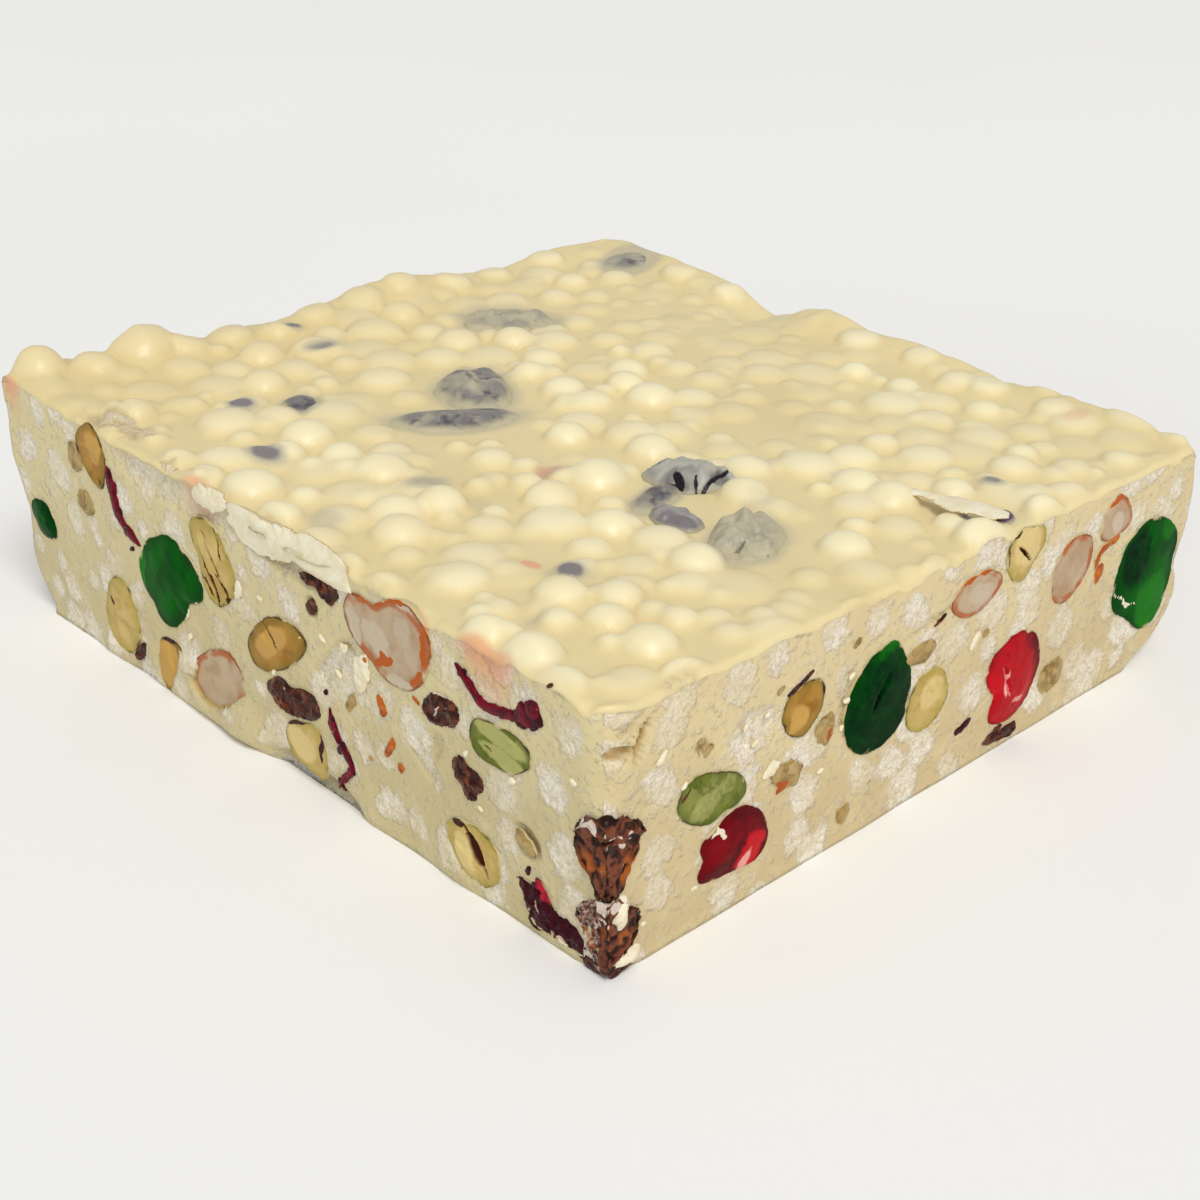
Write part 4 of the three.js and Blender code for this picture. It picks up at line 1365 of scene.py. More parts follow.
    def dress_side(self, side: Side, points: Array) -> tuple[Array, dict[str, Array]]:
        """Works out a side's surface.

        The puffs' grain, the pockets that the morsels sit in and the broken places push it in.

        Args:
            side: the side.
            points: its places before that.

        Returns:
            The moved points, and numbers for the finish.
        """
        wall = WALLS[side]
        along, _ = wall.measure(points)
        up = points[..., 2]
        puff = strongest(np.full(along.shape, self.no_puff), (
            radius - np.hypot(along - middle, up - height) for middle, height, radius in self.side_puffs(side)))
        puff = puff + 1.4 * rough_noise(points, 3.6, 3.0, 4) + 0.6 * rough_noise(points, 1.1, 8.0)
        inset = 0.05 + 0.06 * rough_noise(points, 7.0, 4.0)
        torn, amber = np.zeros_like(up), np.zeros_like(up)
        for hollow in (h for h in self.hollows if h.side is side):
            near = hollow.nearness(along + 0.8 * lattice_noise(points, 3.1, 6.0), up)
            inset = inset + hollow.depth * near
            torn = np.maximum(torn, hollow.torn * near)
            amber = np.maximum(amber, hollow.amber * near)
        rough = np.maximum(ease(-0.1, 0.6, puff), torn)
        inset = inset + rough * (0.04 + 0.3 * np.abs(rough_noise(points, 1.7, 5.0, 2)))
        sunk = strongest(np.zeros_like(up), (
            ease(0.45, 1.05, morsel.inside(along, up)) for morsel in self.morsels if morsel.side is side))
        inset = inset + self.pocket * sunk
        wavy = 0.9 if side is LEFT else 0.4
        inset = inset + wavy * lattice_noise(points, 9.0, 15.0) * (1 - ease(1.0, 9.0, up))
        fade = ease(-0.1, 1.2, up) * 0.75 + 0.25
        moved = points - (inset * fade)[..., None] * wall.facing.outward
        # warm is 1 on the right-hand cut and the far tray side and 0 on the other two, which the finish paints cooler
        # as a painted tint of the light on them.
        warm = np.full(up.shape, float(side in (RIGHT, FAR)))
        # hollow marks the morsels' pockets and the broken dents, which the finish fills with a painted shade.
        return moved, {"puff": np.maximum(puff, 1.2 * torn - 0.4), "hollow": np.maximum(sunk, amber), "warm": warm}

    def shell(self) -> Shell:
        """Makes the closed slab: the top's grid, rings of points down its sides and a fan under it.

        Returns:
            The slab, with numbers for its finish.
        """
        flat = self.plan()
        x, y = flat[..., 0], flat[..., 1]
        domes = self.domes(x, y)
        level, domes = self.form.rim(x, y, self.form.level(x, y), domes)
        torn = strongest(np.zeros_like(x), (film.nearness(x, y) for film in self.tears))
        place = np.stack([x, y, domes], -1)
        torn = torn * ease(-0.45, 0.15, rough_noise(place, 4.0, 12.0))
        domes = domes * (1 - 0.5 * torn) + torn * (0.7 * rough_noise(place, 1.8, 14.0, 4) - 0.3)
        height = level + domes - self.edge_drop()
        top = np.concatenate([flat, height[..., None]], -1)
        number = np.arange(top.shape[0] * top.shape[1]).reshape(top.shape[:2])
        ring = np.concatenate([number[:-1, 0], number[-1, :-1], number[:0:-1, -1], number[0, :0:-1]])
        sides = {RIGHT: slice(0, self.across), FAR: slice(self.across, self.across + self.deep)}
        sides[BACK] = slice(self.across + self.deep, 2 * self.across + self.deep)
        sides[LEFT] = slice(2 * self.across + self.deep, None)
        rim = top.reshape(-1, 3)[ring]
        share = np.concatenate([[0.006], np.linspace(0.02, 1.0, self.levels)])[:, None]
        wall = np.concatenate([np.repeat(rim[None, :, :2], len(share), 0), (rim[:, 2] * (1 - share))[..., None]], -1)
        top = top + self.form.lean(top) + self.form.soften(top)
        wall = wall + self.form.lean(wall) + self.form.soften(wall)
        values = {key: np.zeros(wall.shape[:2]) for key in ("puff", "hollow", "warm")}
        for side, columns in sides.items():
            wall[:, columns], found = self.dress_side(side, wall[:, columns])
            for key in values:
                values[key][:, columns] = found[key]
        wall[..., 2] = np.maximum(wall[..., 2], 0.0)
        wall[-1, :, 2] = 0.0
        index = np.concatenate([ring[None], number.size + np.arange(wall[..., 0].size).reshape(wall.shape[:2])])
        points = np.concatenate([top.reshape(-1, 3), wall.reshape(-1, 3), [self.foot_middle]])
        faces = [grid_faces(number), grid_faces(index, True), fan_faces(len(points) - 1, index[-1], True)]
        nothing = np.zeros_like(x)
        veil = strongest(nothing, (
            self.shore_veil * (1 - ease(0.85, 1.5, np.hypot(*raisin.local(x, y))))
            for raisin in self.top_raisins if raisin.veiled))
        veil = strongest(veil, (film.nearness(x, y) for film in self.veils))
        stain = strongest(nothing, (film.nearness(x, y) for film in self.stains))
        # crumbly picks random pits in the torn places, which the finish fills with a painted shade.
        crumbly = torn * (0.5 + chance(np.floor(x), np.floor(y), 9))
        # dome carries the puffs' rise, from which the finish paints a highlight on their tops and shade between them.
        on_top = {
            "cut": 0.75 * torn, "dome": domes, "veil": veil, "stain": stain, "warm": np.ones_like(x),
            "puff": 3.4 * torn + self.no_puff, "hollow": 0.4 * ease(0.8, 1.0, crumbly)}
        on_top["cut"].ravel()[ring] = np.maximum(0.3, on_top["cut"].ravel()[ring])
        # darkening: on the top, a painted shade that deepens towards the back and the left.
        on_top["darkening"] = ease(70.0, 128.0, y) * (1 - 0.7 * ease(50.0, 110.0, x))
        nothing = np.zeros(wall.shape[:2])
        # Down the sides, darkening grows from nothing at the top edge to full at the foot.
        below = {
            "cut": nothing + 1.0, "dome": nothing, "veil": nothing, "darkening": nothing + share,
            "stain": stain.ravel()[ring] * (1 - share) ** 5, **values}
        full = {key: np.concatenate([on_top[key].ravel(), below[key].ravel(), [below[key][-1, 0]]]) for key in on_top}
        return Shell(points, faces, full)


# ---- Finishes ---------------------------------------------------------------------------------------


def paint(red: int, green: int, blue: int) -> Paint:
    """Turns a colour as a paint chart gives it into the light it reflects.

    Args:
        red: from 0 to 255.
        green: from 0 to 255.
        blue: from 0 to 255.

    Returns:
        The reflected share of each, and 1 for its cover.
    """
    shares = [v / 255.0 for v in (red, green, blue)]
    linear = [v / 12.92 if v <= 0.04045 else ((v + 0.055) / 1.055) ** 2.4 for v in shares]
    return (linear[0], linear[1], linear[2], 1.0)


class Wire:
    """A number or colour that runs through a finish, on which sums are written as Python expressions."""

    def __init__(self, recipe: "Recipe", socket: bpy.types.NodeSocket) -> None:
        """Wraps a node's output socket."""
        self.recipe = recipe
        self.socket = socket

    def __add__(self, other: Any) -> "Wire":
        """Adds a number or another wire."""
        return self.recipe.sum("ADD", self, other)

    def __sub__(self, other: Any) -> "Wire":
        """Takes away a number or another wire."""
        return self.recipe.sum("SUBTRACT", self, other)

    def __mul__(self, other: Any) -> "Wire":
        """Multiplies by a number or another wire."""
        return self.recipe.sum("MULTIPLY", self, other)

    def __rsub__(self, other: Any) -> "Wire":
        """Takes this wire away from a number."""
        return self.recipe.sum("SUBTRACT", other, self)

    def __pow__(self, other: Any) -> "Wire":
        """Raises to a power."""
        return self.recipe.sum("POWER", self, other)

    __radd__ = __add__
    __rmul__ = __mul__

    def most(self, other: Any) -> "Wire":
        """The larger of this and another."""
        return self.recipe.sum("MAXIMUM", self, other)

    def eased(self, low: float, high: float) -> "Wire":
        """Eases between two values.

        Args:
            low: where the result is 0.
            high: where it is 1, which may be below low.

        Returns:
            The eased share.
        """
        settings = {"interpolation_type": "SMOOTHSTEP"}
        inputs = {0: self, 1: min(low, high), 2: max(low, high)}
        found = Wire(self.recipe, self.recipe.node("ShaderNodeMapRange", settings, inputs).outputs[0])
        return found if high > low else 1.0 - found


class Recipe:
    """Builds one finish from nodes."""

    def __init__(self, name: str) -> None:
        """Starts an empty finish.

        Args:
            name: the material's name.
        """
        self.material = bpy.data.materials.new(name)
        self.material.use_nodes = True
        self.tree = self.material.node_tree
        self.tree.nodes.clear()
        self.seed = 0.0
        self.spot = self.node("ShaderNodeTexCoord", {}, {}).outputs["Object"]

    def node(self, kind: str, settings: dict[str, Any], inputs: dict[Union[str, int], Any]) -> bpy.types.Node:
        """Adds a node.

        Args:
            kind: the node's type.
            settings: its properties, set before its sockets.
            inputs: a value, a wire or a socket for each socket's name or number.

        Returns:
            The node.
        """
        node = self.tree.nodes.new(kind)
        for name, value in settings.items():
            setattr(node, name, value)
        for key, value in inputs.items():
            if isinstance(value, Wire):
                value = value.socket
            if isinstance(value, bpy.types.NodeSocket):
                self.tree.links.new(value, node.inputs[key])
            else:
                node.inputs[key].default_value = value
        return node

    def sum(self, operation: str, first: Any, second: Any) -> Wire:
        """Adds a Math node for two numbers or wires."""
        return Wire(self, self.node("ShaderNodeMath", {"operation": operation}, {0: first, 1: second}).outputs[0])

    def mark(self, name: str) -> Wire:
        """Reads one of the piece's own numbers."""
        settings = {"attribute_name": name, "attribute_type": "GEOMETRY"}
        return Wire(self, self.node("ShaderNodeAttribute", settings, {}).outputs["Fac"])

    def moved(self) -> bpy.types.NodeSocket:
        """Shifts the place on the piece, further for each texture so that no two line up.

        Returns:
            The shifted place.
        """
        self.seed += 1.0
        shift = (0.131 * self.seed, 0.293 * self.seed, 0.417 * self.seed)
        return self.node("ShaderNodeVectorMath", {"operation": "ADD"}, {0: self.spot, 1: shift}).outputs[0]

    def noise(self, size: float, detail: float = 2.0, bend: float = 0.0) -> Wire:
        """Adds a cloudy noise, 0 to 1, whose blots are about size millimetres across."""
        inputs = {"Vector": self.moved(), "Scale": 1.0 / (size * MM), "Detail": detail, "Distortion": bend}
        return Wire(self, self.node("ShaderNodeTexNoise", {}, inputs).outputs[0])

    def cells(self, size: float) -> Wire:
        """Adds cells about size millimetres across: 0 in the middle of each, rising outwards."""
        inputs = {"Vector": self.moved(), "Scale": 1.0 / (size * MM)}
        return Wire(self, self.node("ShaderNodeTexVoronoi", {}, inputs).outputs[0])

    def splinters(self, size: float) -> Wire:
        """Adds broken facets, as a split nut has.

        Args:
            size: how far across they are, in millimetres.

        Returns:
            Each facet's own value, from 0 to 1.
        """
        bend = self.node("ShaderNodeTexNoise", {}, {"Vector": self.moved(), "Scale": 1.2 / (size * MM)}).outputs[1]
        bent = self.node("ShaderNodeVectorMath", {"operation": "MULTIPLY_ADD"}, {
            0: bend, 1: (0.9 * size * MM,) * 3, 2: self.moved()}).outputs[0]
        cell = self.node("ShaderNodeTexVoronoi", {}, {"Vector": bent, "Scale": 1.0 / (size * MM)}).outputs[1]
        return Wire(self, self.node("ShaderNodeSeparateColor", {}, {0: cell}).outputs[0])

    def blend(self, share: Any, first: Any, second: Any) -> Wire:
        """Mixes two colours: the first where share is 0, the second where it is 1."""
        settings = {"data_type": "RGBA", "clamp_factor": True}
        return Wire(self, self.node("ShaderNodeMix", settings, {0: share, 6: first, 7: second}).outputs[2])

    def relief(self, height: Wire, deep: float) -> Wire:
        """Turns a height, 0 to 1, into a bumpy normal; deep is the height of 1 in millimetres."""
        inputs = {"Height": height, "Distance": deep * MM, "Strength": 1.0}
        return Wire(self, self.node("ShaderNodeBump", {}, inputs).outputs[0])

    def finish(self, **inputs: Any) -> bpy.types.Material:
        """Ends the finish with a shader; an underscore in a name stands for a space.

        Args:
            inputs: a value or wire for each of the shader's sockets.

        Returns:
            The material.
        """
        named = {key.replace("_", " "): value for key, value in inputs.items()}
        shader = self.node("ShaderNodeBsdfPrincipled", {}, named)
        self.node("ShaderNodeOutputMaterial", {}, {"Surface": shader.outputs[0]})
        return self.material


@dataclass(frozen=True)
class ChocolateFinish:
    """White chocolate: satin over the puffs, dull and creamy where it is cut, chalky in the cut puffs."""

    name: str = "white_chocolate"
    # dome and valley: the top is painted lighter on the puffs' tops and darker between them, a painted highlight and
    # a painted shade; the cut faces take valley in random blots too.
    dome: Paint = paint(250, 238, 198)
    valley: Paint = paint(238, 220, 168)
    # pool: a darker, yellower top, laid in broad random blots and as a painted shade towards the back-left.
    pool: Paint = paint(226, 205, 150)
    matrix: Paint = paint(228, 208, 160)
    matrix_deep: Paint = paint(210, 189, 143)
    # cool and cool_deep: the left-hand cut and the back tray side are painted a little greener and greyer than the
    # other two, a painted tint of the cooler light and shade that fall on them.
    cool: Paint = paint(225, 210, 161)
    cool_deep: Paint = paint(207, 191, 144)
    puff: Paint = paint(248, 239, 222)
    # puff_shade: a greyer tone in random specks of a cut puff, and a painted shade at the edges of its grains.
    puff_shade: Paint = paint(218, 204, 176)
    film: Paint = paint(184, 178, 158)
    purple: Paint = paint(118, 112, 122)
    stain: Paint = paint(240, 150, 112)
    # inside: a tan painted shade in the pockets round the morsels, in the broken hollows and in the crumbly pits of
    # the torn top.
    inside: Paint = paint(184, 146, 76)

    def material(self) -> bpy.types.Material:
        """Makes the finish.

        Returns:
            The material.
        """
        make = Recipe(self.name)
        cut = make.mark("cut").eased(0.35, 0.65)
        broad = make.noise(16.0, 2.0)
        cloud = make.noise(4.0, 3.0)
        grain = make.noise(1.0, 4.0)
        speck = make.noise(0.34, 2.0)
        # The puffs' rise sets the top's colour: a painted highlight on their tops, a painted shade in the valleys.
        top = make.blend(make.mark("dome").eased(0.05, 1.5), self.valley, self.dome)
        # The top turns to pool in broad random blots, and towards the back-left as a painted shade.
        top = make.blend((broad.eased(0.48, 0.72) * 0.35).most(make.mark("darkening") * 0.6), top, self.pool)
        veil = (make.mark("veil") + 0.4 * (cloud - 0.5) + 0.1 * (grain - 0.5)).eased(0.08, 0.8)
        top = make.blend(veil * 0.75, top, self.film)
        dark = (make.mark("veil") + 0.5 * (cloud - 0.5)).eased(0.68, 1.0)
        top = make.blend(dark * 0.85, top, self.purple)
        stain = (make.mark("stain") + 0.5 * (cloud - 0.5)).eased(0.2, 0.95)
        top = make.blend(stain * 0.6, top, self.stain)
        puff = (make.mark("puff") + 1.0 * (cloud - 0.5) + 2.8 * (grain - 0.5)).eased(-0.5, 0.6)
        # deep: the cut faces are darker towards the foot and in broad random blots.
        deep = (make.mark("darkening") + 1.4 * (broad - 0.5)).eased(0.0, 0.9)
        cool = make.blend(deep, self.cool, self.cool_deep)
        # The left-hand cut and the back are painted cooler, a painted tint of the light that falls on them.
        body = make.blend(make.mark("warm"), cool, make.blend(deep, self.matrix, self.matrix_deep))
        body = make.blend(cloud.eased(0.46, 0.7) * 0.3, body, self.valley)
        # shade lays puff_shade in random specks and at the grains' edges, where it is a painted shade in the pits
        # between them.
        lumps = make.cells(0.8)
        shade = (0.35 * lumps + 0.8 * grain + 1.1 * speck - 0.3).eased(0.6, 1.15)
        crisp = make.blend(shade, self.puff, self.puff_shade)
        faint = 0.48 + 0.52 * make.noise(7.0, 2.0).eased(0.36, 0.62)
        face = make.blend(puff * faint, body, crisp)
        # The pockets, dents and pits are painted with inside, a painted shade.
        face = make.blend(make.mark("hollow").eased(0.2, 0.9), face, self.inside)
        face = make.blend(stain * 0.6, face, self.stain)
        height = cut * (puff * (0.6 * grain + 0.25 * speck - 0.2 * lumps) + 0.12 * cloud + 0.03 * grain)
        height = height + (1.0 - cut) * (0.04 * grain + 0.1 * cloud)
        rough = 0.34 + cut * (0.22 + 0.3 * puff)
        return make.finish(
            Base_Color=make.blend(cut, top, face), Roughness=rough, Normal=make.relief(height, 0.7),
            Subsurface_Weight=0.25, Subsurface_Radius=(1.0, 0.75, 0.42), Subsurface_Scale=0.002,
            Specular_IOR_Level=0.4)


@dataclass(frozen=True)
class MorselFinish:
    """A fruit or nut finish made of the same steps: meat, rim, skin, tone, slits and wisps."""

    name: str
    meat: Paint
    meat_deep: Paint
    rim: Paint
    skin: Paint
    # light: the lighter tone of the tone patches, and a painted light on the broken facets.
    light: Paint
    # slit: the colour in the slits and cracks, dark on all but the red cherry, a painted shade in them; the red
    # cherry's is pink.
    slit: Paint
    wisp: Paint = paint(236, 226, 200)
    outer: Optional[Paint] = None
    # facet: how far the broken facets are painted towards light, each by its own random share, a painted light.
    facet: float = 0.0
    rim_from: float = 0.93
    rim_to: float = 0.99
    rim_gaps: float = 0.42
    soft: float = 0.0
    ring: float = 0.0
    cloud: float = 2.6
    detail: float = 3.0
    grain: float = 0.6
    bump: float = 0.2
    roughness: float = 0.42
    specular: float = 0.22
    smear: Paint = paint(212, 194, 150)

    def material(self) -> bpy.types.Material:
        """Makes the finish.

        Returns:
            The material.
        """
        make = Recipe(self.name)
        cloud = make.noise(self.cloud, self.detail, 0.3)
        grain = make.noise(self.grain, 4.0)
        edge = make.mark("rim") + 0.16 * (make.noise(1.6, 3.0) - 0.5)
        body = make.blend(cloud.eased(0.34, 0.66), self.meat, self.meat_deep)
        height = 0.35 * grain + 0.65 * cloud
        # Each broken facet is painted lighter by its own random share, a painted light as if each caught the lamps
        # differently; the facets are bumped too.
        if self.facet:
            split = make.splinters(self.cloud * 0.75)
            body = make.blend(split * self.facet, body, self.light)
            height = height + 0.7 * split
        if self.ring:
            broken = make.noise(5.0, 2.0).eased(0.41, 0.53)
            body = make.blend(edge.eased(self.ring, self.ring + 0.12) * broken, body, self.outer)
        elif self.outer:
            body = make.blend((edge ** 4.0) * 0.85, body, self.outer)
        tone = (make.mark("tone") + 0.5 * (grain - 0.5) + 0.4 * (cloud - 0.5)).eased(0.15, 0.8 + self.soft)
        body = make.blend(tone, body, self.light)
        gaps = make.noise(2.3, 2.0).eased(self.rim_gaps - 0.06, self.rim_gaps + 0.16)
        body = make.blend(edge.eased(self.rim_from, self.rim_to) * gaps, body, self.rim)
        skin = (make.mark("skin") + 0.7 * (grain - 0.5)).eased(0.25, 0.7 + self.soft)
        body = make.blend(skin, body, self.skin)
        # The slits and cracks are painted their slit colour, a painted shade on all but the red cherry.
        body = make.blend(make.mark("slit").eased(0.15, 0.75), body, self.slit)
        wisp = (make.mark("wisp") + 0.7 * (grain - 0.5)).eased(0.35, 0.6)
        body = make.blend(wisp, body, self.wisp)
        smear = (make.mark("rim") + 0.7 * (make.noise(2.8, 4.0) - 0.5)).eased(1.0, 1.1)
        body = make.blend(smear, body, self.smear)
        rough = self.roughness + 0.15 * (grain - 0.5) + 0.3 * wisp
        return make.finish(
            Base_Color=body, Roughness=rough, Normal=make.relief(height + 0.5 * wisp, self.bump),
            Specular_IOR_Level=self.specular)


@dataclass(frozen=True)
class FilmFinish:
    """A raisin under a thin film of chocolate: slate where the film is thin, cream where it runs off."""

    name: str
    thin: Paint
    dark: Paint
    thick: Paint
    shore: Paint
    roughness: float = 0.38
    bump: float = 0.15

    def material(self) -> bpy.types.Material:
        """Makes the finish.

        Returns:
            The material.
        """
        make = Recipe(self.name)
        cloud = make.noise(4.0, 3.0, 0.6)
        blot = make.noise(1.8, 3.0, 0.5)
        shade = make.mark("skin")
        body = make.blend((shade + 1.9 * (cloud - 0.5)).eased(0.05, 0.95), self.thick, self.thin)
        # dark lies in random spots, more on the darker raisins and in the dips of the wrinkles, where it is a painted
        # shade.
        spots = (0.8 * shade + 1.9 * (blot - 0.5) - 0.5 * make.mark("tone")).eased(0.2, 0.7)
        body = make.blend(spots * 0.85, body, self.dark)
        shore = (make.mark("rim") + 0.9 * (cloud - 0.5)).eased(0.1, 0.95)
        body = make.blend(shore, body, self.shore)
        # The folds pressed into the raisin are painted dark, a painted shade.
        body = make.blend(make.mark("slit").eased(0.2, 0.9) * 0.7, body, self.dark)
        return make.finish(
            Base_Color=body, Roughness=self.roughness, Normal=make.relief(cloud + 0.4 * blot, self.bump),
            Specular_IOR_Level=0.35)


@dataclass(frozen=True)
class DriedFinish:
    """A dried fruit finish: lighter on the wrinkles' ridges and darker in their folds, a painted highlight and a
    painted shade.
    """

    name: str
    fold: Paint
    ridge: Paint
    core: Paint
    dust: Paint
    edge: Optional[Paint] = None
    ridge_share: float = 0.7
    mottle: float = 0.9
    lift: float = 0.0
    specular: float = 0.3
    dust_share: float = 0.12
    cloud: float = 1.8
    roughness: float = 0.38
    coat: float = 0.1
    bump: float = 0.3

    def material(self) -> bpy.types.Material:
        """Makes the finish.

        Returns:
            The material.
        """
        make = Recipe(self.name)
        cloud = make.noise(self.cloud, 3.0, 0.5)
        grain = make.noise(0.5, 4.0)
        # Where tone follows the wrinkles, ridge is a painted highlight on their ridges and fold a painted shade in
        # their folds; the mottle is random.
        ridge = (make.mark("tone") * self.ridge_share + self.mottle * (cloud - 0.5) + self.lift).eased(0.05, 0.7)
        body = make.blend(ridge, self.fold, self.ridge)
        body = make.blend((make.mark("skin") + 0.9 * (cloud - 0.5)).eased(0.3, 1.0), body, self.core)
        dust = (make.noise(1.3, 2.0) * 0.7 + grain * 0.3).eased(0.66 - self.dust_share, 0.74 - self.dust_share)
        body = make.blend(dust * 0.55, body, self.dust)
        if self.edge:
            rim = (make.mark("rim") + 0.5 * (cloud - 0.5)).eased(0.4, 0.98)
            body = make.blend(rim * 0.9, body, self.edge)
        wisp = (make.mark("wisp") + 0.7 * (grain - 0.5)).eased(0.35, 0.6)
        body = make.blend(wisp, body, self.dust)
        # The folds pressed into a piece are painted the fold colour, a painted shade.
        body = make.blend(make.mark("slit").eased(0.2, 0.7), body, self.fold)
        height = 0.6 * cloud + 0.4 * grain
        rough = self.roughness + 0.3 * dust
        return make.finish(
            Base_Color=body, Roughness=rough, Normal=make.relief(height, self.bump), Coat_Weight=self.coat,
            Coat_Roughness=0.2, Specular_IOR_Level=self.specular)


# ---- The pieces, as the slab shows them -------------------------------------------------------------

